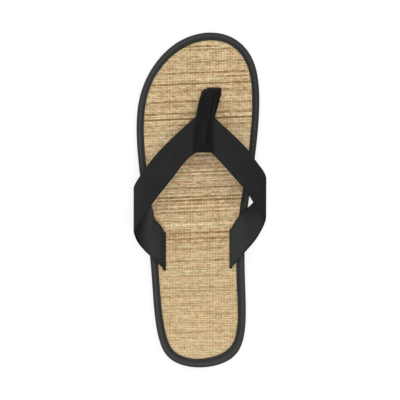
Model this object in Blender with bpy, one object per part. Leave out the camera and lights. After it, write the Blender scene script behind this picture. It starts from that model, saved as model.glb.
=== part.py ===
"""A flip-flop for the left foot.

It is put together from a foam outsole, a straw mat insole on its backing, a
fabric binding folded round the mat's rim, and a webbing V strap that a toe
loop holds down.

Sizes are in millimetres, and every mesh is written in metres. Z points up, the
toe towards +Y and the big-toe (medial) side towards +X. The shoe stands on
z = 0, with the origin under the middle of its box.
"""

import math
from collections import namedtuple

import bpy
import numpy as np

MM = 0.001
GAP = 0.3  # clearance between two pieces that meet

OutlineRow = namedtuple("OutlineRow", "y lateral_x medial_x")
StrapRow = namedtuple("StrapRow", "place front_x front_y front_h rear_x rear_y rear_h")
LoopRow = namedtuple("LoopRow", "place x y h thickness half_width crown")
Slit = namedtuple("Slit", "name x front_y rear_y inward")

# Plan of the bound edge, widest line. x is lateral (-) or medial (+).
HALF_LENGTH = 142.35
DATUM_Y = 0.85  # the tables' y = 0, ahead of the middle of the shoe's length
TOE_TIP_X = 9.0
HEEL_TIP_X = -0.5
OUTLINE_ROWS = (
    OutlineRow(134.5, -17.0, 32.0),
    OutlineRow(116.0, -37.5, 46.0),
    OutlineRow(88.0, -51.0, 50.5),
    OutlineRow(55.0, -54.0, 49.0),
    OutlineRow(15.0, -50.5, 43.0),
    OutlineRow(-20.0, -46.0, 39.0),
    OutlineRow(-55.0, -42.0, 38.0),
    OutlineRow(-95.0, -38.9, 39.0),
    OutlineRow(-120.0, -34.6, 36.6),
    OutlineRow(-135.0, -26.3, 27.4),
)
OUTLINE_POINTS = 104  # even, so that each medial point has a lateral partner

# Heights of the foam outsole.
FORE_THICKNESS = 7.7
HEEL_THICKNESS = 11.7
WEDGE_START_Y = 60.0  # the wedge rises from here towards the heel
WEDGE_LENGTH = 85.0
TOE_SPRING = 4.0
SPRING_START_Y = 96.0
ARCH_RISE = 1.6
ARCH_MIDDLE_Y = -2.0
ARCH_HALF_LENGTH = 27.0
HEEL_BREAK = 1.2  # how far the underside rises behind the heel
HEEL_BREAK_START_Y = -126.0
OUTSOLE_INSET_TOP = 0.9
OUTSOLE_INSET_BOTTOM = 2.2
OUTSOLE_EDGE = 0.8  # bevel on both edges of its side

# The straw mat on its backing, thinner at the rim to leave room for the binding.
TAPE = 1.0  # thickness of the binding
RIM = 3.7
MAT_LEVEL = TAPE + GAP + RIM  # mat surface above the underside of the insole
RIM_EDGE = 1.3
RIM_LOWER_EDGE = 0.6
STEP_INSET = 6.6

# The binding, a tape folded round the rim.
TOP_FLANGE = 6.7
BOTTOM_FLANGE = 5.2
BINDING_HEIGHT = 2 * TAPE + 2 * GAP + RIM
TOP_ROUND = 2.6
BOTTOM_ROUND = 1.8
FLANGE_DROP = 0.5  # how far the inner edge of the top flange dips

# The webbing strap. h is the height of the webbing's middle over the mat.
WEBBING = 1.8
VEE_ROW = StrapRow("vee", 4.6, 77.0, 13.6, 4.6, 43.5, 28.4)
LATERAL_ROWS = (
    StrapRow("beside the loop", -8.0, 65.8, 15.4, -9.0, 34.9, 29.8),
    StrapRow("inner arm", -24.0, 51.0, 19.4, -24.0, 16.5, 31.8),
    StrapRow("outer arm", -38.0, 36.4, 24.0, -38.5, -1.8, 30.4),
    StrapRow("shoulder", -47.5, 23.6, 26.6, -48.5, -16.6, 28.2),
    StrapRow("top of the fold", -52.8, 15.8, 24.2, -53.4, -23.0, 24.8),
    StrapRow("outside of the fold", -55.1, 10.2, 19.2, -55.1, -28.0, 19.6),
    StrapRow("under the fold", -52.4, 4.0, 14.2, -53.6, -34.4, 14.6),
    StrapRow("lower strap", -42.4, -6.0, 8.6, -46.8, -43.8, 9.2),
    StrapRow("above the slit", -36.3, -19.8, 4.8, -37.0, -53.0, 4.8),
)
MEDIAL_ROWS = (
    StrapRow("beside the loop", 16.0, 65.4, 15.4, 15.5, 33.0, 29.8),
    StrapRow("inner arm", 28.0, 54.3, 19.2, 28.0, 19.0, 31.6),
    StrapRow("outer arm", 40.6, 41.3, 24.0, 39.0, 6.3, 31.2),
    StrapRow("shoulder", 49.0, 29.6, 26.8, 47.6, -6.6, 29.4),
    StrapRow("top of the fold", 53.2, 23.8, 24.6, 53.2, -12.4, 26.0),
    StrapRow("outside of the fold", 55.1, 18.4, 19.2, 54.8, -15.8, 20.4),
    StrapRow("under the fold", 53.0, 10.4, 13.4, 53.8, -21.8, 14.8),
    StrapRow("lower strap", 46.0, -3.0, 8.8, 47.4, -34.0, 9.4),
    StrapRow("above the slit", 34.6, -13.5, 4.6, 36.6, -46.8, 5.0),
)
LATERAL_SLIT = Slit("lateral", -30.1, -28.6, -60.1, 1.0)
MEDIAL_SLIT = Slit("medial", 26.1, -26.1, -58.9, -1.0)
MOUTH_LEVEL = 1.2  # the webbing stands upright below this height
TAB_LENGTH = 15.0  # the webbing's end, laid flat under the insole
TAB_CLEARANCE = 0.5  # between the laid end and the insole's underside
BEND_STEPS = 3
STRAP_SPANS = 4  # points per row of the strap
STRAP_ACROSS = 4

# The toe loop: a band round the vee, then down through the toe slit.
LOOP_ROWS = (
    LoopRow("rear lip", 2.6, 39.6, 30.0, 1.8, 8.2, 1.0),
    LoopRow("rear fold", 2.6, 40.9, 29.5, 4.2, 8.9, 1.2),
    LoopRow("behind the vee", 2.7, 45.5, 27.9, 5.6, 9.0, 1.6),
    LoopRow("middle", 3.2, 58.0, 22.4, 5.8, 8.6, 2.2),
    LoopRow("front of the vee", 4.8, 71.5, 16.2, 5.6, 8.2, 2.6),
    LoopRow("crease", 6.8, 80.0, 11.7, 4.6, 8.6, 3.0),
    LoopRow("post", 8.6, 87.5, 6.4, 3.8, 8.6, 2.0),
    LoopRow("foot of the post", 9.6, 91.9, 1.6, 3.3, 8.3, 0.6),
    LoopRow("throat", 9.6, 92.7, -1.6, 3.2, 8.3, 0.0),
)
LOOP_TAB_LENGTH = 14.0
LOOP_CURL = 4.0  # how far the band's lateral edge is turned back where it enters the mat
CURL_HEIGHT = 7.5  # over the mat, where the turning back begins
CURL_START = 0.1  # share of the half width that stays straight
LEAN_ROOM = 1.1  # the toe slit is wider behind the post, which leans back
LOOP_SPANS = 2
LOOP_ACROSS = 6


def closed_spline(knots, values, at, period):
    """Periodic cubic spline with a continuous second derivative.

    The bends at the knots solve the usual linear system, whose rows wrap round.
    """
    count = len(knots)
    after = np.diff(np.append(knots, knots[0] + period))
    before = np.roll(after, 1)
    ahead = np.roll(values, -1)
    behind = np.roll(values, 1)
    system = np.diag(2 * (before + after))
    rows = np.arange(count)
    system[rows, (rows + 1) % count] += after
    system[rows, rows - 1] += before
    slopes = (ahead - values) / after - (values - behind) / before
    bends = np.linalg.solve(system, 6 * slopes)
    at = (at - knots[0]) % period + knots[0]
    k = np.clip(np.searchsorted(knots, at, side="right") - 1, 0, count - 1)
    following = (k + 1) % count
    span = after[k]
    right = at - knots[k]
    left = span - right
    curved = (bends[k] * left**3 + bends[following] * right**3) / (6 * span)
    straight_left = (values[k] / span - bends[k] * span / 6) * left
    straight_right = (values[following] / span - bends[following] * span / 6) * right
    return curved + straight_left + straight_right


def smooth_rows(rows, spans):
    """Smooth curve through the rows of a table, every column at once.

    The knots lie as far apart as the rows do. The slope at a row is the mean of
    the slopes on its two sides, weighted towards the shorter one, and a cubic
    joins each pair of rows.
    """
    rows = np.array(rows, float)
    span = np.linalg.norm(np.diff(rows, axis=0), axis=1)[:, None]
    chord = np.diff(rows, axis=0) / span
    slope = np.vstack([
        chord[:1],
        (chord[:-1] * span[1:] + chord[1:] * span[:-1]) / (span[1:] + span[:-1]),
        chord[-1:],
    ])
    t = (np.arange(spans) / spans)[:, None, None]
    start, end = rows[:-1], rows[1:]
    points = (2 * t**3 - 3 * t**2 + 1) * start + (3 * t**2 - 2 * t**3) * end
    points = points + (t**3 - 2 * t**2 + t) * span * slope[:-1]
    points = points + (t**3 - t**2) * span * slope[1:]
    points = points.transpose(1, 0, 2).reshape(-1, rows.shape[1])
    return np.vstack([points, rows[-1:]])


def smooth_step(t):
    t = np.clip(t, 0, 1)
    return t * t * (3 - 2 * t)


def outline_ring(inset):
    """The sole's outline, moved inwards by inset.

    y is the half length times the cosine of an angle, which starts at the toe
    and turns past the medial side, and x is a closed spline over that angle.
    """
    lateral = np.array([row.lateral_x for row in OUTLINE_ROWS])
    medial = np.array([row.medial_x for row in OUTLINE_ROWS])
    going_back = np.arccos([(row.y + DATUM_Y) / HALF_LENGTH for row in OUTLINE_ROWS])
    knots = np.concatenate([[0], going_back, [math.pi], 2 * math.pi - going_back[::-1]])
    values = np.concatenate([[TOE_TIP_X], medial, [HEEL_TIP_X], lateral[::-1]])
    angles = np.arange(OUTLINE_POINTS) * 2 * math.pi / OUTLINE_POINTS
    small = 1e-4
    x = closed_spline(knots, values, angles, 2 * math.pi)
    x_after = closed_spline(knots, values, angles + small, 2 * math.pi)
    x_before = closed_spline(knots, values, angles - small, 2 * math.pi)
    along = np.column_stack([
        (x_after - x_before) / (2 * small),
        -HALF_LENGTH * np.sin(angles),
    ])
    along /= np.linalg.norm(along, axis=1)[:, None]
    inwards = np.column_stack([along[:, 1], -along[:, 0]])
    return np.column_stack([x, HALF_LENGTH * np.cos(angles) - DATUM_Y]) + inset * inwards


def toe_spring(y):
    toe_y = HALF_LENGTH - DATUM_Y
    reach = np.clip((y - SPRING_START_Y) / (toe_y - SPRING_START_Y), 0, 1)
    return TOE_SPRING * reach**2


def outsole_top(y):
    """Top of the outsole: level fore and aft, with a wedge between, and the toe spring."""
    wedge = smooth_step((WEDGE_START_Y - y) / WEDGE_LENGTH)
    return FORE_THICKNESS + (HEEL_THICKNESS - FORE_THICKNESS) * wedge + toe_spring(y)


def outsole_bottom(y):
    """Underside: flat at 0 under forefoot and heel, raised at toe, arch and back of heel."""
    arch = np.clip(1 - ((y - ARCH_MIDDLE_Y) / ARCH_HALF_LENGTH) ** 2, 0, 1) ** 2
    heel_y = -HALF_LENGTH - DATUM_Y
    back = np.clip((HEEL_BREAK_START_Y - y) / (HEEL_BREAK_START_Y - heel_y), 0, 1)
    return toe_spring(y) + ARCH_RISE * arch + HEEL_BREAK * back**2


def insole_bottom(y):
    return outsole_top(y) + GAP


def mat_top(y):
    return insole_bottom(y) + MAT_LEVEL


def make_object(name, points, faces, material):
    """One object from points in millimetres, moved to the shoe's middle."""
    points = (np.array(points) + (0, DATUM_Y, 0)) * MM
    mesh = bpy.data.meshes.new(name)
    mesh.from_pydata([tuple(p) for p in points], [], faces)
    mesh.materials.append(material)
    made = bpy.data.objects.new(name, mesh)
    bpy.context.scene.collection.objects.link(made)
    mesh.shade_smooth()
    mesh.set_sharp_from_angle(angle=math.radians(35))
    return made


def make_material(name, colour, roughness):
    material = bpy.data.materials.new(name)
    material.use_nodes = True
    shader = material.node_tree.nodes["Principled BSDF"]
    shader.inputs["Base Color"].default_value = (*colour, 1.0)
    shader.inputs["Roughness"].default_value = roughness
    shader.inputs["Metallic"].default_value = 0.0
    return material


def ring_points(inset, height):
    """A ring of the outline at an inset, lifted to height(y)."""
    ring = outline_ring(inset)
    return np.column_stack([ring, height(ring[:, 1])])


def ladder(first, upwards):
    """Faces across a ring whose first point has index first, rung by rung."""
    half = OUTLINE_POINTS // 2
    faces = []
    for i in range(half):
        rung = [i, i + 1, OUTLINE_POINTS - i - 1, (OUTLINE_POINTS - i) % OUTLINE_POINTS]
        rung = [first + k for k in dict.fromkeys(rung)]
        faces.append(rung[::-1] if upwards else rung)
    return faces


def band(first, second):
    """Quads between two rings of the outline, by the index of their first points."""
    faces = []
    for i in range(OUTLINE_POINTS):
        j = (i + 1) % OUTLINE_POINTS
        faces.append((first + i, first + j, second + j, second + i))
    return faces


def stacked_rings(rings):
    """Closed solid from rings listed from its top, down its side, to its underside."""
    points = np.vstack([ring_points(inset, height) for inset, height in rings])
    starts = [OUTLINE_POINTS * k for k in range(len(rings))]
    faces = ladder(starts[0], upwards=True)
    for upper, lower in zip(starts, starts[1:]):
        faces += band(upper, lower)
    return points, faces + ladder(starts[-1], upwards=False)


def corners(x_range, y_range):
    """A rectangle's corners, counterclockwise."""
    (left, right), (rear, front) = x_range, y_range
    return [(left, rear), (right, rear), (right, front), (left, front)]


def prism(plan, floor, ceiling):
    """An upright prism over a plan, counterclockwise. Its ends are heights over y."""
    count = len(plan)
    points = [(x, y, float(level(y))) for level in (floor, ceiling) for x, y in plan]
    faces = [tuple(range(count))[::-1], tuple(range(count, 2 * count))]
    for i in range(count):
        j = (i + 1) % count
        faces.append((i, j, count + j, count + i))
    return points, faces


def cut(target, name, points, faces):
    """Takes a hidden cutter away from the target."""
    cutter = make_object(name, points, faces, target.data.materials[0])
    cutter.hide_render = True
    cutter.display_type = "WIRE"
    modifier = target.modifiers.new(name, "BOOLEAN")
    modifier.operation = "DIFFERENCE"
    modifier.object = cutter


def curl(across, h):
    """How far the band is turned back at a share of its half width and a height.

    It grows by a power of the way to the lateral edge, and down to the mat.
    """
    way = np.clip((-across - CURL_START) / (1 - CURL_START), 0, 1)
    return LOOP_CURL * way**2.5 * smooth_step((CURL_HEIGHT - h) / CURL_HEIGHT)


def slit_plans():
    """(name, plan) of the three slits in the insole. The toe slit follows the curl."""
    half = WEBBING / 2 + GAP
    found = []
    for slit in (LATERAL_SLIT, MEDIAL_SLIT):
        y_range = (slit.rear_y - GAP, slit.front_y + GAP)
        found.append((slit.name, corners((slit.x - half, slit.x + half), y_range)))
    throat = LOOP_ROWS[-1]
    half_x = throat.half_width + GAP
    front = throat.y + throat.thickness / 2 + GAP
    rear = throat.y - throat.thickness / 2 - GAP - LEAN_ROOM
    plan = [(throat.x - half_x, rear - LOOP_CURL), (throat.x + half_x, rear)]
    plan += [(throat.x + half_x, front)]
    for across in np.linspace(-CURL_START, -1, LOOP_ACROSS + 1):
        plan.append((throat.x + half_x * across, front - curl(across, 0.0)))
    return found + [("toe", plan)]


def laid_depth(thickness):
    """Depth under the mat of the middle of an end laid under the insole."""
    return MAT_LEVEL + TAB_CLEARANCE + thickness / 2


def laid_end(thickness, length):
    """(run, h) of an end that comes down upright, turns a quarter and lies flat."""
    bend = thickness / 2 + GAP
    angles = np.linspace(0, math.pi / 2, BEND_STEPS + 1)
    turn = [(bend * (1 - math.cos(a)), bend * (1 - math.sin(a))) for a in angles]
    depth = laid_depth(thickness)
    return [(run, h - depth) for run, h in turn] + [(length, -depth)]


def pocket_depth(thickness):
    """Depth under the outsole's top of the recess for a laid end."""
    return laid_depth(thickness) + thickness / 2 - MAT_LEVEL


def pocket_cutters():
    """(name, x range, y range, depth) of the recesses that take the laid ends."""
    found = []
    for slit in (LATERAL_SLIT, MEDIAL_SLIT):
        outer = slit.x - slit.inward * (WEBBING / 2 + GAP)
        inner = slit.x + slit.inward * (TAB_LENGTH + GAP)
        x_range = (min(outer, inner), max(outer, inner))
        y_range = (slit.rear_y - GAP, slit.front_y + GAP)
        found.append((slit.name, x_range, y_range, pocket_depth(WEBBING)))
    throat = LOOP_ROWS[-1]
    half_x = throat.half_width + GAP
    x_range = (throat.x - half_x, throat.x + half_x)
    y_range = (throat.y - LOOP_TAB_LENGTH - GAP, throat.y + throat.thickness / 2 + GAP)
    return found + [("toe", x_range, y_range, pocket_depth(throat.thickness))]


def make_outsole(material):
    """Foam outsole: a tapered side with bevelled edges, and recesses for the strap's ends."""
    top_edge = lambda y: outsole_top(y) - OUTSOLE_EDGE
    bottom_edge = lambda y: outsole_bottom(y) + OUTSOLE_EDGE
    points, faces = stacked_rings([
        (OUTSOLE_INSET_TOP + OUTSOLE_EDGE, outsole_top),
        (OUTSOLE_INSET_TOP, top_edge),
        (OUTSOLE_INSET_BOTTOM, bottom_edge),
        (OUTSOLE_INSET_BOTTOM + OUTSOLE_EDGE, outsole_bottom),
    ])
    outsole = make_object("outsole", points, faces, material)
    for name, x_range, y_range, depth in pocket_cutters():
        floor = lambda y, depth=depth: outsole_top(y) - depth
        ceiling = lambda y: outsole_top(y) + 2.0
        cut(outsole, name + "_pocket", *prism(corners(x_range, y_range), floor, ceiling))


def make_insole(material):
    """Straw mat and backing in one, with a thinner rim and the three slits."""
    rim_bottom = lambda y: insole_bottom(y) + TAPE + GAP
    mat_edge = lambda y: mat_top(y) - RIM_EDGE
    rim_lower_edge = lambda y: rim_bottom(y) + RIM_LOWER_EDGE
    edge = TAPE + GAP
    points, faces = stacked_rings([
        (edge + RIM_EDGE, mat_top),
        (edge, mat_edge),
        (edge, rim_lower_edge),
        (edge + RIM_LOWER_EDGE, rim_bottom),
        (STEP_INSET, rim_bottom),
        (STEP_INSET, insole_bottom),
    ])
    insole = make_object("insole", points, faces, material)
    for name, plan in slit_plans():
        floor = lambda y: insole_bottom(y) - 2.0
        ceiling = lambda y: mat_top(y) + 2.0
        cut(insole, name + "_slit", *prism(plan, floor, ceiling))


def quarter(centre, radius, start, steps):
    """Points of a quarter circle round centre, clockwise from start degrees."""
    angles = np.radians(start - np.linspace(0, 90, steps + 1))
    return [(centre[0] + radius * math.cos(a), centre[1] + radius * math.sin(a)) for a in angles]


def binding_profile():
    """Cross-section as (inset, height): a C, open inwards, with round outer corners."""
    top = BINDING_HEIGHT
    inner_bottom = BOTTOM_ROUND - TAPE
    inner_top = TOP_ROUND - TAPE
    profile = [(BOTTOM_FLANGE, 0.0)]
    profile += quarter((BOTTOM_ROUND, BOTTOM_ROUND), BOTTOM_ROUND, 270, 2)
    profile += quarter((TOP_ROUND, top - TOP_ROUND), TOP_ROUND, 180, 3)
    profile += [(TOP_FLANGE - TAPE, top - 0.1), (TOP_FLANGE, top - FLANGE_DROP)]
    profile += [(TOP_FLANGE, top - TAPE)]
    profile += quarter((TOP_ROUND, top - TOP_ROUND), inner_top, 180, 2)[::-1]
    profile += quarter((BOTTOM_ROUND, BOTTOM_ROUND), inner_bottom, 270, 1)[::-1]
    return profile + [(BOTTOM_FLANGE, TAPE)]


def make_binding(material):
    """Sweeps the C round the outline."""
    profile = binding_profile()
    rings = []
    for inset, height in profile:
        rings.append(ring_points(inset, lambda y: insole_bottom(y) + height))
    starts = [OUTLINE_POINTS * k for k in range(len(profile))]
    faces = []
    for here, following in zip(starts, starts[1:] + starts[:1]):
        faces += band(following, here)
    make_object("binding", np.vstack(rings), faces, material)


def strap_side(rows, slit):
    """Rows of one side as (front x, y, h, rear x, y, h), from the vee to its laid end."""
    upright = []
    for h in (MOUTH_LEVEL, -MAT_LEVEL / 2):
        upright.append((slit.x, slit.front_y, h, slit.x, slit.rear_y, h))
    curve = smooth_rows([VEE_ROW[1:]] + [row[1:] for row in rows] + upright, STRAP_SPANS)
    flat = []
    for run, h in laid_end(WEBBING, TAB_LENGTH):
        x = slit.x + slit.inward * run
        flat.append((x, slit.front_y, h, x, slit.rear_y, h))
    return np.vstack([curve, flat])


def strap_edges():
    """Front and rear edge of the webbing, from one end to the other."""
    lateral = strap_side(LATERAL_ROWS, LATERAL_SLIT)
    medial = strap_side(MEDIAL_ROWS, MEDIAL_SLIT)
    rows = np.vstack([lateral[::-1], medial[1:]])
    edges = []
    for x, y, h in (rows[:, :3].T, rows[:, 3:].T):
        edges.append(np.column_stack([x, y, mat_top(y) + h]))
    return edges


def sheet_normals(grid):
    """Unit normals of a grid of points, from its central differences."""
    normals = np.cross(np.gradient(grid, axis=0), np.gradient(grid, axis=1))
    return normals / np.linalg.norm(normals, axis=2)[:, :, None]


def tube_faces(sections, around):
    """Quads round a row of closed sections, with a face over each end."""
    faces = []
    for s in range(sections - 1):
        for k in range(around):
            k_after = (k + 1) % around
            faces.append((s * around + k, s * around + k_after,
                          (s + 1) * around + k_after, (s + 1) * around + k))
    last = (sections - 1) * around
    return faces + [tuple(range(around))[::-1], tuple(range(last, last + around))]


def make_webbing(material):
    """The V strap: a ruled sheet between the two edges, thickened to both sides."""
    front, rear = strap_edges()
    across = np.linspace(0, 1, STRAP_ACROSS + 1)[None, :, None]
    sheet = front[:, None] * (1 - across) + rear[:, None] * across
    offset = sheet_normals(sheet) * WEBBING / 2
    sections = np.concatenate([sheet + offset, (sheet - offset)[:, ::-1]], axis=1)
    count, around = sections.shape[:2]
    return make_object("upper", sections.reshape(-1, 3), tube_faces(count, around), material)


def make_toe_loop(material):
    """The band round the vee: crowned sections, square to the band's run.

    Its lateral edge is turned back on the way into the mat. The laid end is straight.
    """
    rows = smooth_rows([row[1:] for row in LOOP_ROWS], LOOP_SPANS)
    throat = LOOP_ROWS[-1]
    laid = laid_end(throat.thickness, LOOP_TAB_LENGTH)
    flat = [throat._replace(y=throat.y - run, h=h)[1:] for run, h in laid]
    x, y, h, thickness, half_width, crown = np.vstack([rows, flat]).T
    z = mat_top(y) + h
    run = np.column_stack([np.gradient(y), np.gradient(z)])
    run /= np.linalg.norm(run, axis=1)[:, None]
    up = np.column_stack([-run[:, 1], run[:, 0]])
    across = np.linspace(-1, 1, LOOP_ACROSS + 1)
    rise = crown[:, None] * (0.4 - across**2)
    turned = curl(across, h[:, None])
    turned[y < LOOP_ROWS[-1].y - 6] = 0
    sides = []
    for side in (0.5, -0.5):
        lift = rise + side * thickness[:, None]
        sides.append(np.stack([
            x[:, None] + half_width[:, None] * across,
            y[:, None] + up[:, :1] * lift - turned,
            z[:, None] + up[:, 1:] * lift,
        ], axis=2))
    sections = np.concatenate([sides[0], sides[1][:, ::-1]], axis=1)
    count, around = sections.shape[:2]
    faces = tube_faces(count, around)
    return make_object("toe_loop_band", sections.reshape(-1, 3), faces, material)


def make_upper(material):
    """Strap and toe loop, joined where they cross."""
    upper = make_webbing(material)
    loop = make_toe_loop(material)
    loop.hide_render = True
    loop.display_type = "WIRE"
    join = upper.modifiers.new("toe_loop", "BOOLEAN")
    join.operation = "UNION"
    join.object = loop


def main():
    for old in list(bpy.data.objects):
        bpy.data.objects.remove(old)
    make_outsole(make_material("black_foam", (0.018, 0.018, 0.019), 0.75))
    make_insole(make_material("straw_mat", (0.56, 0.40, 0.22), 0.6))
    make_binding(make_material("binding_tape", (0.045, 0.046, 0.048), 0.85))
    make_upper(make_material("black_webbing", (0.026, 0.027, 0.027), 0.8))


main()
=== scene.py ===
"""The finish of a left flip-flop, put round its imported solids.

Pieces: a straw mat of single straws tied by cotton threads, on its backing; a
woven binding with its seam; a foam outsole with a fine tread; the webbing V
strap with stitched edges; and the pleated toe loop that holds it down.

Sizes are in millimetres and meshes in metres, with Z up, the toe towards +Y and
the big-toe (medial) side towards +X.
"""

import math
from collections import namedtuple

import bpy
import numpy as np
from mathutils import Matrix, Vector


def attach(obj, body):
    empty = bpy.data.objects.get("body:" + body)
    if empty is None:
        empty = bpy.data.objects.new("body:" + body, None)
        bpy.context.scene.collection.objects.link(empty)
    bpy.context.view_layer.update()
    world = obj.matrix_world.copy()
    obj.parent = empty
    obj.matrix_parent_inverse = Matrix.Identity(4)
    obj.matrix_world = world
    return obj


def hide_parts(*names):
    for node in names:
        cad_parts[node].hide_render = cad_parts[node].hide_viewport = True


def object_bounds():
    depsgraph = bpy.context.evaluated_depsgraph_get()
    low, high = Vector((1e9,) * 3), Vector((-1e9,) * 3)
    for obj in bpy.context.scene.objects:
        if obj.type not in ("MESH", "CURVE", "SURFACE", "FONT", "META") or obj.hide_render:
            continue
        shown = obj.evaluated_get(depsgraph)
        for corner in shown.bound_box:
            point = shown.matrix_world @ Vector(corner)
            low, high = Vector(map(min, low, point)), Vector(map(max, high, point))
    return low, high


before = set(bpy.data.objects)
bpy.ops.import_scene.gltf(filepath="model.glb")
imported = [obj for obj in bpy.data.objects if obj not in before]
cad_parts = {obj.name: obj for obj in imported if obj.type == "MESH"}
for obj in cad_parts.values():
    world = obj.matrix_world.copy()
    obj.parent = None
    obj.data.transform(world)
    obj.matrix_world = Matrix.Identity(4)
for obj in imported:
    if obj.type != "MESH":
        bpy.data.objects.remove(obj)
CAD_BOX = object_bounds()

MM = 0.001
GAP = 0.3  # clearance between two solids that meet

Drift = namedtuple("Drift", "size pitch seed")


def table(columns, *rows):
    """Rows of values that go by the names of their columns."""
    row_type = namedtuple("Row", columns)
    return tuple(row_type(*row) for row in rows)


# Plan of the sole at its widest line.
HALF_LENGTH = (CAD_BOX[1].y - CAD_BOX[0].y) / 2 / MM
DATUM_Y = 0.85  # how far the tables' y = 0 lies ahead of the middle of the shoe
TOE_Y = HALF_LENGTH - DATUM_Y
HEEL_Y = -HALF_LENGTH - DATUM_Y
TOE_TIP_X = 9.0
HEEL_TIP_X = -0.5
OUTLINE_ROWS = table(
    "y lateral_x medial_x",
    (134.5, -17.0, 32.0),
    (116.0, -37.5, 46.0),
    (88.0, -51.0, 50.5),
    (55.0, -54.0, 49.0),
    (15.0, -50.5, 43.9),
    (-20.0, -46.0, 39.2),
    (-55.0, -42.0, 38.0),
    (-95.0, -38.9, 39.0),
    (-120.0, -34.6, 36.6),
    (-135.0, -26.3, 27.4),
)
RING = 832  # points round the outline

# Heights of the sole and the mat.
FORE_THICKNESS = 7.7
HEEL_THICKNESS = 11.7
WEDGE_START_Y = 60.0
WEDGE_LENGTH = 85.0
TOE_SPRING = 4.0
SPRING_START_Y = 96.0
ARCH_RISE = 1.6
ARCH_MIDDLE_Y = -2.0
ARCH_HALF_LENGTH = 27.0
HEEL_BREAK = 1.2
HEEL_BREAK_START_Y = -126.0
OUTSOLE_INSET_TOP = 0.9
OUTSOLE_INSET_BOTTOM = 2.2
OUTSOLE_EDGE = 0.8
TREAD_DEPTH = 0.75
TREAD_PITCH = 5.2  # from one groove to the next
ZIGZAG_DEPTH = 4.0  # how far a groove swings to and fro
ZIGZAG_WIDTH = 9.0  # from one turn of a groove to the next
TREAD_BORDER = 3.0  # plain border beside the grooves, twice as much at the tips
TAPE = 1.0
RIM = 3.7
MAT_LEVEL = TAPE + GAP + RIM

# Straws and the threads that tie them.
MAT_INSET = 3.4  # the mat's cut edge, under the binding
STRAW_WIDTH = 1.48
DARK_WIDTH = 1.3
STRAW_DEPTH = 0.6
STRAW_LEVEL = -0.36  # a straw's middle, from the mat's surface
THREAD_PITCH = 2.43
THREAD_RADIUS = 0.17
THREAD_SWING = 0.12  # how far a straw dips and rises between its threads
STRAW_STEP = THREAD_PITCH / 3
THREAD_STAIN = 0.75  # how much of a dark straw's shade its threads take on
STRAW_FILL = 0.94  # share of its own room that a straw fills
SHORTEST_RUN = 1.5  # a shorter stretch of straw is left out
THREAD_END = 0.6  # a thread ends this far inside the mat's edge
THREADED_HALF = 60.0  # threads lie this far out, past the sole's widest part
HEEL_TILT = 0.012  # rise of a straw per millimetre across the heel
TILT_GAIN = 0.029  # and how much more it rises over the rest
BACKING_DEPTH = 0.95  # the backing's top under the mat's surface

# Random drifts along a straw, and of a thread from straw to straw (in its points,
# two to a straw). The number of the straw or thread is added to the seed.
STRAW_LINE = Drift(0.12, 23.0, 500)
STRAW_THICKNESS = Drift(0.05, 11.0, 3000)
SLOW_SHADE = Drift(0.06, 11.0, 1300)
QUICK_SHADE = Drift(1.0, THREAD_PITCH * 0.9, 1700)
DARK_PATCHES = Drift(0.38, 5.0, 2100)
TINT_DRIFT = Drift(0.3, 13.0, 2500)
THREAD_LINE = Drift(0.38, 30.0, 4024)

# Mean tones of the straws from heel to toe: partly the straws' own tone, partly painted light,
# paler and redder in the middle of the sole, where the strap shades the mat.
SOLE_TONES_AND_PAINTED_LIGHT = table(
    "y shade tint",
    (-130, 0.36, 0.35),
    (-112, 0.40, 0.40),
    (-98, 0.41, 0.55),
    (-70, 0.40, 0.50),
    (-45, 0.37, 0.50),
    (-26, 0.38, 0.50),
    (-18, 0.26, 0.55),
    (-10, 0.36, 0.60),
    (0, 0.35, 0.65),
    (10, 0.34, 0.45),
    (22, 0.27, 0.55),
    (35, 0.28, 0.65),
    (46, 0.27, 0.60),
    (62, 0.40, 0.55),
    (74, 0.35, 0.55),
    (80, 0.39, 0.50),
    (100, 0.38, 0.50),
    (116, 0.41, 0.50),
    (125, 0.34, 0.45),
)

# Straws darker than the rest: y is at the sole's middle, and the shade is added.
DARK_STRAWS = table(
    "y shade from_x to_x",
    (129.7, 0.62, -18, 20),
    (127.1, 0.32, -18, 30),
    (120.7, 0.20, -26, 2),
    (116.7, 0.28, -10, 44),
    (111.2, 0.16, -40, 0),
    (107.4, 0.37, -40, 42),
    (103.5, 0.28, 14, 44),
    (98.2, 0.64, -46, 48),
    (92.9, 0.28, -44, 44),
    (91.0, 0.30, 12, 46),
    (83.5, 0.50, -46, 2),
    (82.0, 0.36, 10, 46),
    (79.8, 0.22, -40, -10),
    (73.3, 0.56, -50, 48),
    (68.5, 1.10, -50, 48),
    (63.3, 0.20, -50, 44),
    (58.9, 0.16, -50, -18),
    (55.4, 0.20, -50, -28),
    (46.4, 0.28, -48, -28),
    (36.9, 0.55, -8, 12),
    (29.8, 0.36, -20, 26),
    (26.4, 0.22, -24, 26),
    (23.0, 0.45, -26, 26),
    (19.9, 0.22, -28, 28),
    (15.0, 0.32, -28, 30),
    (9.8, 0.47, -34, 40),
    (5.3, 0.22, -34, 34),
    (2.0, 0.51, -40, 38),
    (-0.8, 0.59, -40, 38),
    (-4.1, 0.22, -40, 34),
    (-7.5, 0.18, -38, 34),
    (-10.7, 0.24, -36, 32),
    (-18.7, 0.14, -34, 32),
    (-28.6, 0.58, -30, 30),
    (-31.0, 0.24, -30, 2),
    (-33.4, 0.54, -30, 28),
    (-36.9, 0.22, -28, 24),
    (-42.1, 0.34, -28, 24),
    (-52.1, 0.42, -30, 24),
    (-57.8, 0.10, -30, 28),
    (-65.1, 0.26, -36, 26),
    (-75.1, 0.18, -36, 30),
    (-78.0, 0.18, -24, 22),
    (-82.3, 0.22, -36, -4),
    (-93.4, 0.16, -36, -6),
    (-97.7, 0.18, 4, 32),
    (-111.2, 0.16, 2, 30),
    (-113.4, 0.14, -24, 30),
)

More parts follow.
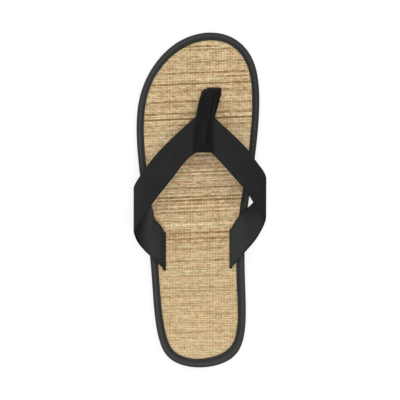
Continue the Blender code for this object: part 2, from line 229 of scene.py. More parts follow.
# The binding's tape.
TOP_FLANGE = 6.7
BOTTOM_FLANGE = 5.2
BINDING_HEIGHT = 2 * TAPE + 2 * GAP + RIM
TOP_ROUND = 2.6
BOTTOM_ROUND = 1.8
SEAM_INSET = 5.1
SEAM_DRAW = 0.28  # how far the seam draws the tape in
SEAM_DEPTH = 0.24  # its stitches' level under the tape's top
PUCKER_LENGTH = 3.1
PUCKER_PHASE = Drift(2.2, 19, 71)
PUCKER_STRENGTH = Drift(0.3, 7, 72)
EDGE_WAVER = Drift(0.06, 13, 73)

# How the tape is laid, in degrees round the outline from the toe over the medial side:
# how much wider its top shows, and how much paler it is.
TAPE_WIDTHS = table(
    "degrees wider paler",
    (0, 0.0, 0.00),
    (35, -0.3, -0.12),
    (50, -0.5, -0.24),
    (72, -0.8, -0.24),
    (95, 0.0, 0.00),
    (120, 0.6, 0.00),
    (135, 0.2, 0.00),
    (148, 0.6, 0.04),
    (158, 1.5, 0.12),
    (172, 1.3, 0.15),
    (182, 0.8, 0.18),
    (195, 0.6, 0.12),
    (210, 0.3, 0.00),
    (240, -0.4, 0.00),
    (305, -0.4, 0.00),
    (318, -0.8, 0.00),
    (332, 0.0, 0.00),
    (342, 0.3, 0.00),
    (360, 0.0, 0.00),
)

# Tone of the tape from its outer fold to its inner edge, as painted light and shade: painted shade
# on the round over the fold, in the seam's groove and at the inner edge, and paler between them.
TAPE_PAINTED_LIGHT = table(
    "inset tone",
    (0.0, 0.55),
    (0.9, 0.45),
    (1.4, 0.22),
    (2.2, 0.85),
    (2.8, 0.85),
    (3.8, 0.50),
    (4.9, 0.12),
    (5.4, 0.28),
    (6.1, 0.45),
    (6.6, 0.10),
)

# The strap. h is the height of the webbing's middle over the mat.
WEBBING = 1.8
STRAP_COLUMNS = "place front_x front_y front_h rear_x rear_y rear_h"
VEE_ROW = ("vee", 4.6, 77.0, 13.6, 4.6, 43.5, 28.4)
LATERAL_ROWS = table(
    STRAP_COLUMNS,
    ("beside the loop", -8.0, 65.8, 15.4, -9.0, 34.9, 29.8),
    ("inner arm", -24.0, 51.0, 19.4, -24.0, 16.5, 31.8),
    ("outer arm", -38.0, 36.4, 24.0, -38.5, -1.8, 30.4),
    ("shoulder", -47.5, 23.6, 26.6, -48.5, -16.6, 28.2),
    ("top of the fold", -52.8, 15.8, 24.2, -53.4, -23.0, 24.8),
    ("outside of the fold", -55.1, 10.2, 19.2, -55.1, -28.0, 19.6),
    ("under the fold", -52.4, 4.0, 14.2, -53.6, -34.4, 14.6),
    ("lower strap", -41.5, -5.2, 8.6, -46.8, -43.8, 9.2),
    ("above the slit", -38.1, -17.1, 5.2, -37.0, -53.0, 4.8),
    ("into the slit", -32.8, -23.1, 4.0, -32.7, -57.3, 3.8),
)
MEDIAL_ROWS = table(
    STRAP_COLUMNS,
    ("beside the loop", 16.0, 65.4, 15.4, 15.5, 33.0, 29.8),
    ("inner arm", 28.0, 54.3, 19.2, 28.0, 19.0, 31.6),
    ("outer arm", 40.6, 41.3, 24.0, 39.0, 6.3, 31.2),
    ("shoulder", 49.0, 29.6, 26.8, 47.6, -6.6, 29.4),
    ("top of the fold", 53.2, 23.8, 24.6, 53.2, -12.4, 26.0),
    ("outside of the fold", 55.1, 18.4, 19.2, 54.8, -15.8, 20.4),
    ("under the fold", 53.0, 10.4, 13.4, 53.8, -21.8, 14.8),
    ("lower strap", 45.5, -2.3, 8.8, 47.4, -34.0, 9.4),
    ("above the slit", 34.2, -13.0, 4.6, 36.6, -46.8, 5.0),
    ("into the slit", 29.0, -20.6, 4.1, 30.3, -54.1, 4.3),
)

# The strap's slits, lateral and medial. Inward is the way that the laid end points.
SLITS = table(
    "x front_y rear_y inward",
    (-30.1, -28.6, -60.1, 1.0),
    (26.1, -26.1, -58.9, -1.0),
)

# Tones of the webbing, by row from its lateral end over the vee (0) to its medial end, as painted
# light and shade: the outer face darkest over the medial fold, the lining paler, with painted shade
# on it under the lateral fold.
STRAP_PAINTED_LIGHT = table(
    "row outer lining_front lining_rear",
    (-10.2, 0.40, 0.38, 0.40),
    (-9, 0.40, 0.60, 0.58),
    (-8.5, 0.40, 0.68, 0.64),
    (-8, 0.40, 0.95, 0.42),
    (-7.6, 0.38, 0.44, 0.35),
    (-7, 0.31, 0.17, 0.12),
    (-6, 0.36, 0.40, 0.40),
    (-5, 0.42, 0.40, 0.40),
    (-4, 0.34, 0.35, 0.35),
    (2, 0.33, 0.35, 0.35),
    (3, 0.29, 0.35, 0.35),
    (5, 0.22, 0.35, 0.35),
    (5.5, 0.06, 0.35, 0.35),
    (6.5, 0.02, 0.40, 0.45),
    (7, 0.16, 0.46, 0.56),
    (8, 0.30, 0.45, 0.58),
    (8.5, 0.30, 0.42, 0.55),
    (9, 0.30, 0.66, 0.70),
)
MOUTH_LEVEL = 1.2  # the webbing stands upright below this height
TAB_LENGTH = 15.0
TAB_CLEARANCE = 0.5
STRAP_SPANS = 38  # points per row of the strap
RIB_PITCH = 1.7  # from one weft yarn of the webbing to the next
BEND_STEPS = 8
EDGE_SEAM = 3.0  # stitching, in from either edge of the webbing
EDGE_SEAM_DRAW = 0.16  # how far it draws the webbing in, on either face
POCKET_ROOM = 2.2  # round a laid end, in the pocket of the foam
FACE_SHIFT = 40.0  # between the weaves of a band's two faces

# The toe loop.
LOOP_ROWS = table(
    "place x y h thickness half_width crown",
    ("rear lip", 2.6, 39.3, 30.0, 1.8, 8.2, 1.0),
    ("rear fold", 2.6, 40.9, 29.5, 4.2, 8.9, 1.2),
    ("behind the vee", 2.7, 45.5, 27.9, 5.6, 9.0, 1.6),
    ("middle", 3.2, 58.0, 22.4, 5.8, 8.6, 2.2),
    ("front of the vee", 4.8, 71.5, 16.2, 5.6, 8.2, 2.6),
    ("crease", 6.8, 80.0, 11.7, 4.6, 8.6, 3.0),
    ("post", 8.6, 87.5, 6.4, 3.8, 8.6, 2.0),
    ("foot of the post", 9.6, 91.9, 1.6, 3.3, 8.3, 0.6),
    ("throat", 9.6, 92.7, -1.6, 3.2, 8.3, 0.0),
)
LOOP_TAB_LENGTH = 14.0
LEAN_ROOM = 1.1  # the toe slit is wider behind the post, which leans back
LOOP_SPANS = 12
LOOP_ACROSS = 40
LOOP_CURL = 4.0  # how far the band's lateral edge is turned back where it enters the mat
CORNER_CURL = 1.4  # the same of its medial corner
CORNER_START = 0.76  # share of the half width where that begins
CURL_HEIGHT = 7.5  # over the mat, where the turning back begins
CURL_START = 0.1  # share of the half width that stays straight
CREASE_HEIGHT = 1.5  # the fold that slants over the front of the band
CREASE_ACROSS = 0.66  # its share of the half width, where y is CREASE_Y
CREASE_Y = 75.5
CREASE_SLANT = 0.0715  # how much smaller that share gets per millimetre forward
HEM_Y = 42.5
HEM_DEPTH = 0.35

# Pleats of the band: a share of its half width, and from which y to which.
PLEATS = table(
    "across width height start end drift",
    (-0.72, 0.09, -0.30, 43.5, 66.0, 0.10),
    (-0.28, 0.12, 0.12, 43.0, 64.0, 0.05),
    (0.08, 0.10, 0.40, 43.0, 70.0, 0.05),
    (0.32, 0.08, -0.35, 43.0, 57.0, 0.00),
    (0.60, 0.08, -0.45, 43.0, 71.0, -0.12),
    (0.52, 0.07, -0.70, 72.0, 84.0, -0.05),
    (0.68, 0.06, 0.45, 72.0, 84.0, -0.04),
    (0.88, 0.09, -0.65, 71.0, 89.0, 0.00),
    (0.43, 0.08, -0.25, 82.0, 92.0, -0.08),
)

# Colours of a straw, by its shade.
STRAW_COLOURS = (
    (0.0, (0.74, 0.57, 0.366)),
    (0.3, (0.56, 0.41, 0.243)),
    (0.62, (0.37, 0.24, 0.105)),
    (1.0, (0.20, 0.108, 0.034)),
)

# The stage, in metres.
FLOOR = 4.0  # half the side of the floor
FILLED = 0.84  # share of the picture's height that the shoe's length fills


# ---------------------------------------------------------------- curves


def closed_spline(knots, values, at, period):
    """Periodic cubic spline: between knots it bends evenly from one to the next."""
    count = len(knots)
    after = np.diff(np.append(knots, knots[0] + period))
    before = np.roll(after, 1)
    system = np.diag(2 * (before + after))
    rows = np.arange(count)
    system[rows, (rows + 1) % count] += after
    system[rows, rows - 1] += before
    slopes = (np.roll(values, -1) - values) / after - (values - np.roll(values, 1)) / before
    bends = np.linalg.solve(system, 6 * slopes)
    at = (at - knots[0]) % period + knots[0]
    k = np.clip(np.searchsorted(knots, at, side="right") - 1, 0, count - 1)
    following = (k + 1) % count
    span = after[k]
    right = at - knots[k]
    left = span - right
    curved = (bends[k] * left**3 + bends[following] * right**3) / (6 * span)
    straight_left = (values[k] / span - bends[k] * span / 6) * left
    straight_right = (values[following] / span - bends[following] * span / 6) * right
    return curved + straight_left + straight_right


def smooth_rows(rows, spans):
    """Cubic through the rows, its slope at a row the mean of both sides' slopes."""
    rows = np.array(rows, float)
    span = np.linalg.norm(np.diff(rows, axis=0), axis=1)[:, None]
    chord = np.diff(rows, axis=0) / span
    inner = (chord[:-1] * span[1:] + chord[1:] * span[:-1]) / (span[1:] + span[:-1])
    slope = np.vstack([chord[:1], inner, chord[-1:]])
    t = (np.arange(spans) / spans)[:, None, None]
    points = (2 * t**3 - 3 * t**2 + 1) * rows[:-1] + (3 * t**2 - 2 * t**3) * rows[1:]
    points = points + (t**3 - 2 * t**2 + t) * span * slope[:-1]
    points = points + (t**3 - t**2) * span * slope[1:]
    points = points.transpose(1, 0, 2).reshape(-1, rows.shape[1])
    return np.vstack([points, rows[-1:]])


def smooth_step(t):
    """Eases from 0 to 1: three times the square of t less twice its cube."""
    t = np.clip(t, 0, 1)
    return t * t * (3 - 2 * t)


def plateau(value, low, high, rise, fall):
    """0 outside low and high and 1 between them, eased over the rise and the fall."""
    return smooth_step((value - low) / rise) * smooth_step((high - value) / fall)


def bell(distance, width):
    """Gaussian: 1 at no distance, and almost 0 at twice the width."""
    return np.exp(-((distance / width) ** 2))


def drifted(at, drift, number=0):
    """Value noise of a Drift: random heights a pitch apart, eased into each other."""
    at = np.asarray(at, float) / drift.pitch
    cell = np.floor(at).astype(int)
    low = cell.min()
    heights = np.random.default_rng(drift.seed + number).uniform(-1, 1, cell.max() - low + 2)
    ease = smooth_step(at - cell)
    return drift.size * (heights[cell - low] * (1 - ease) + heights[cell - low + 1] * ease)


def outline_ring(inset):
    """The outline moved inwards: y is the half length times a cosine, x a closed spline.

    The inset is one number, or a column with one for each point.
    """
    lateral = [row.lateral_x for row in OUTLINE_ROWS]
    medial = [row.medial_x for row in OUTLINE_ROWS]
    going_back = np.arccos([(row.y + DATUM_Y) / HALF_LENGTH for row in OUTLINE_ROWS])
    knots = np.concatenate([[0], going_back, [math.pi], 2 * math.pi - going_back[::-1]])
    values = np.array([TOE_TIP_X, *medial, HEEL_TIP_X, *lateral[::-1]])
    angles = np.arange(RING) * 2 * math.pi / RING
    small = 1e-4
    x_before, x, x_after = [
        closed_spline(knots, values, angles + step, 2 * math.pi) for step in (-small, 0, small)
    ]
    along = np.column_stack([(x_after - x_before) / (2 * small), -HALF_LENGTH * np.sin(angles)])
    along = unit(along)
    inwards = np.column_stack([along[:, 1], -along[:, 0]])
    return np.column_stack([x, HALF_LENGTH * np.cos(angles) - DATUM_Y]) + inset * inwards


def sole_sides(ring):
    """The ring split at its tips: its lateral and its medial points, both from toe to heel."""
    order = np.arange(RING // 2 + 1)
    return ring[-order % RING], ring[order]


def width_at(y, inset):
    """The lateral and medial x of the outline at y, moved inwards by inset."""
    sides = sole_sides(outline_ring(inset))
    return [np.interp(y, side[::-1, 1], side[::-1, 0]) for side in sides]


def outline_length():
    """Length round the outline at each of its points, and back at the first."""
    ring = outline_ring(0)
    return arc_length(np.vstack([ring, ring[:1]]))


def toe_spring(y):
    """Rise of the toe, by the square of the way from the ball to the tip."""
    reach = np.clip((y - SPRING_START_Y) / (TOE_Y - SPRING_START_Y), 0, 1)
    return TOE_SPRING * reach**2


def outsole_top(y):
    """Level of the foam's top: a wedge eased in towards the heel, and the toe's rise."""
    wedge = smooth_step((WEDGE_START_Y - y) / WEDGE_LENGTH)
    return FORE_THICKNESS + (HEEL_THICKNESS - FORE_THICKNESS) * wedge + toe_spring(y)


def outsole_bottom(y):
    """Level of the underside: flat but for the toe's rise, the arch and the heel's break."""
    arch = np.clip(1 - ((y - ARCH_MIDDLE_Y) / ARCH_HALF_LENGTH) ** 2, 0, 1) ** 2
    back = np.clip((HEEL_BREAK_START_Y - y) / (HEEL_BREAK_START_Y - HEEL_Y), 0, 1)
    return toe_spring(y) + ARCH_RISE * arch + HEEL_BREAK * back**2


def insole_bottom(y):
    """Level of the board's underside, a gap over the foam."""
    return outsole_top(y) + GAP


def mat_top(y):
    """Level of the mat's surface."""
    return insole_bottom(y) + MAT_LEVEL


# ---------------------------------------------------------------- meshes


def add_object(name, data):
    """A new object that holds data, linked into the scene."""
    made = bpy.data.objects.new(name, data)
    bpy.context.scene.collection.objects.link(made)
    return made


class Shape:
    """Points, faces, UVs and named values per point, gathered for one mesh."""

    def __init__(self):
        self.points = []
        self.faces = []
        self.uvs = []
        self.marks = {}
        self.count = 0

    def add_faces(self, faces):
        """Faces as rows of point numbers, with blank UVs."""
        faces = np.asarray(faces, int)
        self.faces.append(faces)
        self.uvs.append(np.zeros((faces.size, 2)))

    def add_grid(self, grid, close_rows=False, close_columns=False, flip=False, uv=None):
        """A grid of points as quads, which goes on past a closed side to its start again.

        uv holds u and v at each row and column, with one more of them past a closed side.
        """
        rows, columns = grid.shape[:2]
        first = self.count
        self.points.append(grid.reshape(-1, 3))
        self.count += rows * columns
        spans = (rows - (not close_rows), columns - (not close_columns))
        r, c = np.indices(spans).reshape(2, -1, 1)
        r, c = r + np.array([0, 1, 1, 0]), c + np.array([0, 0, 1, 1])
        if flip:
            r, c = r[:, ::-1], c[:, ::-1]
        self.add_faces(first + (r % rows) * columns + c % columns)
        if uv is not None:
            self.uvs[-1] = np.stack([uv[0][r, c], uv[1][r, c]], axis=-1).reshape(-1, 2)
        return first

    def add_tube(self, grid, flip=False, uv=None):
        """A grid closed across its rows, with a face over either end."""
        first = self.add_grid(grid, close_columns=True, flip=flip, uv=uv)
        start = np.arange(first, first + grid.shape[1])
        end = np.arange(self.count - grid.shape[1], self.count)[::-1]
        for cap in (start, end):
            self.add_faces([cap[::-1] if flip else cap])

    def mark(self, **values):
        """Values for the points added since the last call, by the attribute's name."""
        for name, block in values.items():
            self.marks.setdefault(name, []).append(np.ravel(block))

    def build(self, name, material, smooth_angle=60.0):
        """The object, shaded smooth but for edges sharper than the angle."""
        mesh = bpy.data.meshes.new(name)
        faces = [face for block in self.faces for face in block.tolist()]
        mesh.from_pydata((np.vstack(self.points) + (0, DATUM_Y, 0)) * MM, [], faces)
        layer = mesh.uv_layers.new(name="cloth")
        layer.data.foreach_set("uv", np.vstack(self.uvs).astype(np.float32).ravel())
        for key, blocks in self.marks.items():
            values = np.concatenate(blocks).astype(np.float32)
            mesh.attributes.new(key, "FLOAT", "POINT").data.foreach_set("value", values)
        mesh.materials.append(material)
        mesh.validate()
        mesh.shade_smooth()
        mesh.set_sharp_from_angle(angle=math.radians(smooth_angle))
        return add_object(name, mesh)


def dress(piece, node):
    """Puts a finished piece on the one body, in the place of its CAD node."""
    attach(piece, "root")
    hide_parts(node)


def unit(vectors):
    """The vectors at length 1."""
    return vectors / np.maximum(np.linalg.norm(vectors, axis=-1, keepdims=True), 1e-9)


def grid_normals(grid):
    """Normals of a grid of points: its slope along crossed with its slope across."""
    return unit(np.cross(np.gradient(grid, axis=0), np.gradient(grid, axis=1)))


def arc_length(points):
    """Length along a row of points, from 0."""
    steps = np.linalg.norm(np.diff(points, axis=0), axis=1)
    return np.concatenate([[0], np.cumsum(steps)])


def stitches(shape, path, normals, pitch, length, radius, sink=0.0):
    """Thread stitches along a path on a surface.

    A stitch is a bar of six sides in five sections: it runs along the path for its
    length, arched by a sine, with both ends sunk below the surface.
    """
    distance = arc_length(path)
    count = int((distance[-1] - length) / pitch)
    middles = (np.arange(count) + 0.5) * distance[-1] / count
    share = np.linspace(-0.5, 0.5, 5)
    at = middles[:, None] + share * length
    place = np.stack([np.interp(at, distance, column) for column in path.T], axis=-1)
    up = unit(np.stack([np.interp(at, distance, column) for column in normals.T], axis=-1))
    side = unit(np.cross(unit(place[:, -1:] - place[:, :1]), up))
    lift = radius * np.cos(share * math.pi) - sink - radius * 0.2
    centre = place + up * lift[None, :, None]
    angles = (np.arange(6) * math.pi / 3)[:, None]
    thick = radius * np.array([0.55, 0.95, 1.0, 0.95, 0.55])[None, :, None, None]
    around = np.cos(angles) * side[:, :, None] + np.sin(angles) * up[:, :, None]
    for tube in centre[:, :, None] + thick * around:
        shape.add_tube(tube)


# ---------------------------------------------------------------- pieces


def in_box(x, y, box, room_x, room_y):
    """Which points lie in a box (low x, high x, low y, high y) or in the room round it."""
    low_x, high_x, low_y, high_y = box
    inside = (x > low_x - room_x) & (x < high_x + room_x)
    return inside & (y > low_y - room_y) & (y < high_y + room_y)


def curl(across, h):
    """How far the band is turned back at a share of its half width and a height.

    It grows by a power of the way to either edge, and down to the mat.
    """
    way = np.clip((-across - CURL_START) / (1 - CURL_START), 0, 1)
    corner = np.clip((across - CORNER_START) / (1 - CORNER_START), 0, 1)
    back = LOOP_CURL * way**2.5 + CORNER_CURL * corner**2
    return back * smooth_step((CURL_HEIGHT - h) / CURL_HEIGHT)


def slit_boxes():
    """(low x, high x, low y, high y) of the slits in the mat.

    The toe slit is a row of boxes side by side, which step back with the curl.
    """
    half = WEBBING / 2 + GAP
    found = []
    for slit in SLITS:
        found.append((slit.x - half, slit.x + half, slit.rear_y - GAP, slit.front_y + GAP))
    throat = LOOP_ROWS[-1]
    half_x = throat.half_width + GAP
    high_y = throat.y + throat.thickness / 2 + GAP
    low_y = high_y - throat.thickness - 2 * GAP - LEAN_ROOM
    edges = np.concatenate([np.linspace(-1, -CURL_START, 6), [CORNER_START, 0.88, 1]])
    for across, following in zip(edges, edges[1:]):
        back = curl((across + following) / 2, 0.0)
        low_x, high_x = throat.x + half_x * across, throat.x + half_x * following
        found.append((low_x, high_x + 0.01, low_y - back, high_y - back))
    return found


def straw_tilt(y):
    """Rise of a straw per millimetre to the medial side, least at the heel."""
    return HEEL_TILT + TILT_GAIN * smooth_step((y + 110) / 60)


def straw_lines():
    """Middle y (at x = 0) and width of each straw from heel to toe, and the charted ones.

    A charted straw lies at its own place. The straws between two of them share the
    room at random widths.
    """
    rng = np.random.default_rng(11)
    edges = [HEEL_Y]
    charted = {}
    for row in sorted(DARK_STRAWS) + [None]:
        room = (row.y - DARK_WIDTH / 2 if row else TOE_Y) - edges[-1]
        shares = np.cumsum(rng.uniform(0.8, 1.2, round(room / STRAW_WIDTH)))
        if len(shares):
            edges += list(edges[-1] + room * shares / shares[-1])
        if row:
            charted[len(edges) - 1] = row
            edges.append(row.y + DARK_WIDTH / 2)
    edges = np.array(edges)
    return (edges[:-1] + edges[1:]) / 2, np.diff(edges), charted


def straw_y(k, middle, x):
    """A straw's line: its tilt, and a slow drift of its own."""
    return middle + straw_tilt(middle) * x + drifted(x, STRAW_LINE, k)


def straw_tones_and_painted_light(k, middle, x, dark):
    """(shade, tint) along a straw: shade is 0 pale to 1 dark, tint 0 green to 1 red.

    Both are a tone of the straw's own about a mean for its place on the sole, which
    is partly painted light, and slow drifts along it. The shade also changes from
    thread to thread, less so at the heel, and a straw of the chart is dark and redder.
    """
    rng = np.random.default_rng(900 + k)
    # The mean shade and tint along the sole are partly painted light: paler and redder under the
    # strap.
    y, shades, tints = np.transpose(SOLE_TONES_AND_PAINTED_LIGHT)
    forward = smooth_step((middle + 70) / 50)
    shade = rng.normal(np.interp(middle, y, shades), 0.013 + 0.037 * forward)
    tint = rng.normal(np.interp(middle, y, tints), 0.16) + drifted(x, TINT_DRIFT, k)
    shade = shade + drifted(x, SLOW_SHADE, k) + (0.15 + 0.07 * forward) * drifted(x, QUICK_SHADE, k)
    if dark:
        inside = plateau(x, dark.from_x, dark.to_x, 6, 6)
        shade = shade + dark.shade * inside * (0.86 + drifted(x, DARK_PATCHES, k))
        tint = tint + 0.2 * dark.shade * inside
    return np.clip(shade, 0, 1.2), np.clip(tint, 0, 1)


def straw_runs(middle, width, boxes):
    """Stretches (from x, to x) of a straw inside the mat's edge and clear of the slits."""
    low = high = 0.0
    for _ in range(4):
        low = width_at(middle + straw_tilt(middle) * low, MAT_INSET)[0]
        high = width_at(middle + straw_tilt(middle) * high, MAT_INSET)[1]
    runs = [(low, high)]
    for low_x, high_x, low_y, high_y in boxes:
        y = middle + straw_tilt(middle) * (low_x + high_x) / 2
        if low_y - width * 0.3 < y < high_y + width * 0.3:
            cut = []
            for start, end in runs:
                cut += [(start, min(end, low_x)), (max(start, high_x), end)]
            runs = cut
    return [(start, end) for start, end in runs if end - start > SHORTEST_RUN]


def make_straws(material):
    """Single split straws: a four-sided section, flat below, carried across the sole.

    A straw's middle swings down under one thread and up over the next, as a cosine
    with a period of two threads, and its neighbours swing the other way.
    """
    section_y = np.array([-0.5, -0.26, 0.26, 0.5])
    section_z = np.array([-0.2, 0.5, 0.5, -0.2])
    middles, widths, charted = straw_lines()
    boxes = slit_boxes()
    limit = outline_ring(MAT_INSET)[:, 1]
    shape = Shape()
    for k, (middle, width) in enumerate(zip(middles, widths)):
        if not limit.min() < middle < limit.max():
            continue
        for start, end in straw_runs(middle, width, boxes):
            steps = np.arange(math.ceil(start / STRAW_STEP), math.floor(end / STRAW_STEP) + 1)
            x = np.concatenate([[start], steps * STRAW_STEP, [end]])
            y = straw_y(k, middle, x)
            swing = -THREAD_SWING * (-1) ** k * np.cos(math.pi * x / THREAD_PITCH)
            z = mat_top(y) + STRAW_LEVEL + swing
            thin = (STRAW_FILL + drifted(x, STRAW_THICKNESS, k))[:, None]
            shape.add_tube(np.stack([
                np.repeat(x[:, None], 4, axis=1),
                y[:, None] + section_y * width * thin,
                z[:, None] + section_z * STRAW_DEPTH * thin,
            ], axis=-1))
            shade, tint = straw_tones_and_painted_light(k, middle, x, charted.get(k))
            shape.mark(shade=np.repeat(shade, 4), tint=np.repeat(tint, 4))
    return shape.build("straws", material)


def thread_path(j, middles):
    """Line of a thread from heel to toe: a point at each straw, and one between it and the next.

    The thread lies over every other straw and under the rest, and its neighbours the
    other way round.
    """
    count = len(middles)
    number = np.arange(2 * count - 1)
    x = j * THREAD_PITCH + drifted(number, THREAD_LINE, j)
    y = np.interp(number, number[::2], middles)
    y = y + straw_tilt(y) * x
    over = (np.arange(count) + j) % 2 == 0
    on_top = STRAW_DEPTH / 2 - THREAD_SWING + 0.7 * THREAD_RADIUS
    below = -STRAW_DEPTH * 0.2 + THREAD_SWING - THREAD_RADIUS
    z = np.full(len(number), STRAW_LEVEL)
    z[::2] += np.where(over, on_top, below)
    return np.column_stack([x, y, mat_top(y) + z])


def in_the_mat(path, boxes):
    """Which points of a thread lie inside the mat's edge and clear of the slits."""
    x, y, _ = path.T
    lateral, medial = width_at(y, MAT_INSET + THREAD_END)
    inside = (x > lateral) & (x < medial)
    inside &= (y > HEEL_Y + MAT_INSET + 1) & (y < TOE_Y - MAT_INSET - 1)
    for box in boxes:
        inside &= ~in_box(x, y, box, 0.2, 0.3)
    return inside


def make_threads(material):
    """Cotton threads: four-sided tubes over and under the straws, stained by a dark one."""
    middles, _, charted = straw_lines()
    boxes = slit_boxes()
    reach = int(THREADED_HALF / THREAD_PITCH)
    angles = np.arange(4) * math.pi / 2
    section = THREAD_RADIUS * np.column_stack([1.15 * np.cos(angles), 0 * angles, np.sin(angles)])
    shape = Shape()
    for j in range(-reach, reach + 1):
        path = thread_path(j, middles)
        stain = np.zeros(len(path))
        for k, dark in charted.items():
            if dark.from_x < j * THREAD_PITCH < dark.to_x:
                stain[2 * k - 1:2 * k + 2] = THREAD_STAIN * dark.shade
        inside = in_the_mat(path, boxes).astype(int)
        switches = np.flatnonzero(np.diff(np.concatenate([[0], inside, [0]])))
        for start, end in switches.reshape(-1, 2):
            if end - start >= 4:
                shape.add_tube(path[start:end, None] + section)
                shape.mark(shade=np.repeat(stain[start:end], 4))
    return shape.build("mat_threads", material)


def make_backing(material):
    """The insole's solid with its doubles merged and its top lowered to carry the mat."""
    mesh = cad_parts["insole"].data.copy()
    mesh.name = "insole_backing"
    co = np.empty(len(mesh.vertices) * 3, np.float32)
    mesh.vertices.foreach_get("co", co)
    co = co.reshape(-1, 3) / MM
    co[:, 2] = np.minimum(co[:, 2], mat_top(co[:, 1] - DATUM_Y) - BACKING_DEPTH)
    mesh.vertices.foreach_set("co", (co * MM).astype(np.float32).ravel())
    mesh.materials.clear()
    mesh.materials.append(material)
    piece = add_object("insole_backing", mesh)
    weld = piece.modifiers.new("merge_doubles", "WELD")
    weld.merge_threshold = 0.00001
    return piece


def quarter(centre, radius, start, steps):
    """Points of a quarter circle round centre, clockwise from start degrees."""
    angles = np.radians(start - np.linspace(0, 90, steps + 1))
    return [(centre[0] + radius * math.cos(a), centre[1] + radius * math.sin(a)) for a in angles]


def tape_profile():
    """(inset, height) round the folded tape, with its seam drawn in and its edge rolled."""
    top = BINDING_HEIGHT
    profile = [(inset, 0.0) for inset in (BOTTOM_FLANGE, 4.0, 3.0)]
    profile += quarter((BOTTOM_ROUND, BOTTOM_ROUND), BOTTOM_ROUND, 270, 6)
    profile += [(0.0, 2.4), (0.0, 3.0)]
    profile += quarter((TOP_ROUND, top - TOP_ROUND), TOP_ROUND, 180, 9)
    for inset in np.linspace(3.0, 6.2, 11):
        drawn = SEAM_DRAW * bell(inset - SEAM_INSET, 0.45)
        profile.append((inset, top - drawn - 0.10 * max(inset - SEAM_INSET, 0)))
    profile += [(6.5, top - 0.22), (6.66, top - 0.40), (TOP_FLANGE, top - 0.62), (6.6, top - 0.9)]
    profile += [(6.3, top - TAPE), (4.6, top - TAPE)]
    profile += quarter((TOP_ROUND, top - TOP_ROUND), TOP_ROUND - TAPE, 180, 4)[::-1]
    profile += quarter((BOTTOM_ROUND, BOTTOM_ROUND), BOTTOM_ROUND - TAPE, 270, 3)[::-1]
    return np.array(profile + [(3.4, TAPE), (BOTTOM_FLANGE, TAPE)])


def ring_bend():
    """Bending of the tape's middle, one over its radius, along the outline's points."""
    ring = outline_ring(3.0)
    ahead = np.roll(ring, -1, axis=0) - ring
    angle = np.unwrap(np.arctan2(ahead[:, 1], ahead[:, 0]))
    turn = np.abs(np.diff(np.append(angle, angle[0] - 2 * math.pi)))
    bend = turn / np.linalg.norm(ahead, axis=1)
    window = np.ones(31) / 31
    return np.convolve(np.concatenate([bend[-15:], bend, bend[:15]]), window, mode="valid")


def along_the_tape(column):
    """A column of TAPE_WIDTHS at each point of the outline."""
    degrees = [row.degrees for row in TAPE_WIDTHS]
    values = [getattr(row, column) for row in TAPE_WIDTHS]
    return np.interp(np.arange(RING) * 360 / RING, degrees, values)


def laid_inset(inset):
    """A profile point's inset at each point of the outline: the tape is laid unevenly."""
    return inset + along_the_tape("wider") * smooth_step((inset - 3.6) / 2)


def tape_rings():
    """Points of the tape: its profile carried round the outline, puckered where that bends.

    A pucker is a sine along the outline, of about 3 mm, faded in by the bending and
    by the distance from the outer fold.
    """
    *along, total = outline_length()
    along = np.array(along)
    waves = round(total / PUCKER_LENGTH)
    pucker = np.sin(along / total * waves * 2 * math.pi + drifted(along, PUCKER_PHASE))
    pucker *= np.clip(ring_bend() * 26, 0.12, 1) * (0.7 + drifted(along, PUCKER_STRENGTH))
    rings = []
    for inset, height in tape_profile():
        on_top = smooth_step((inset - 2.4) / 2.5) * (height > BINDING_HEIGHT - 0.95)
        laid = laid_inset(inset) if height > BINDING_HEIGHT / 2 else inset
        laid = laid + drifted(along, EDGE_WAVER) * (inset > 6.2)
        ring = outline_ring(laid[:, None])
        z = insole_bottom(ring[:, 1]) + height + 0.07 * on_top * pucker
        rings.append(np.column_stack([ring, z]))
    return np.array(rings)


def make_tape(material):
    """The tape's rings as one closed grid, with painted light and shade across it and paler or
    darker stretches round the sole.
    """
    profile = tape_profile()
    inset, height = profile.T
    # Painted light and shade across the tape, by the inset of each profile point.
    tone = np.interp(inset, *np.transpose(TAPE_PAINTED_LIGHT))
    tone[height < BINDING_HEIGHT - TOP_ROUND] = 0.4
    paler = along_the_tape("paler")
    inside = smooth_step((inset - 1.5) / 3)[:, None]
    tone = tone[:, None] + np.where(paler > 0, inside, 1.0) * paler
    u = np.broadcast_to(outline_length(), (len(profile) + 1, RING + 1))
    across = arc_length(profile)
    v = np.broadcast_to(np.append(across, across[-1] + TAPE)[:, None], u.shape)
    shape = Shape()
    shape.add_grid(tape_rings(), close_rows=True, close_columns=True, uv=(u, v))
    shape.mark(tone=np.clip(tone, 0, 1))
    return shape.build("binding_tape", material, 75)


def make_tape_seam(material):
    """One line of stitches round the tape, near its inner edge."""
    ring = outline_ring(laid_inset(SEAM_INSET)[:, None])
    path = np.column_stack([ring, insole_bottom(ring[:, 1]) + BINDING_HEIGHT - SEAM_DEPTH])
    path = np.vstack([path, path[:1]])
    normals = np.tile([0.0, 0.0, 1.0], (len(path), 1))
    shape = Shape()
    stitches(shape, path, normals, pitch=2.9, length=2.2, radius=0.22, sink=0.04)
    return shape.build("binding_seam", material)


def across_sole(ring, columns, height):
    """A grid between both sides of a ring, lifted to height(x, y)."""
    lateral, medial = sole_sides(ring)
    share = np.linspace(0, 1, columns)[None, :, None]
    flat = lateral[1:-1, None] * (1 - share) + medial[1:-1, None] * share
    return np.dstack([flat, height(flat[..., 0], flat[..., 1])])


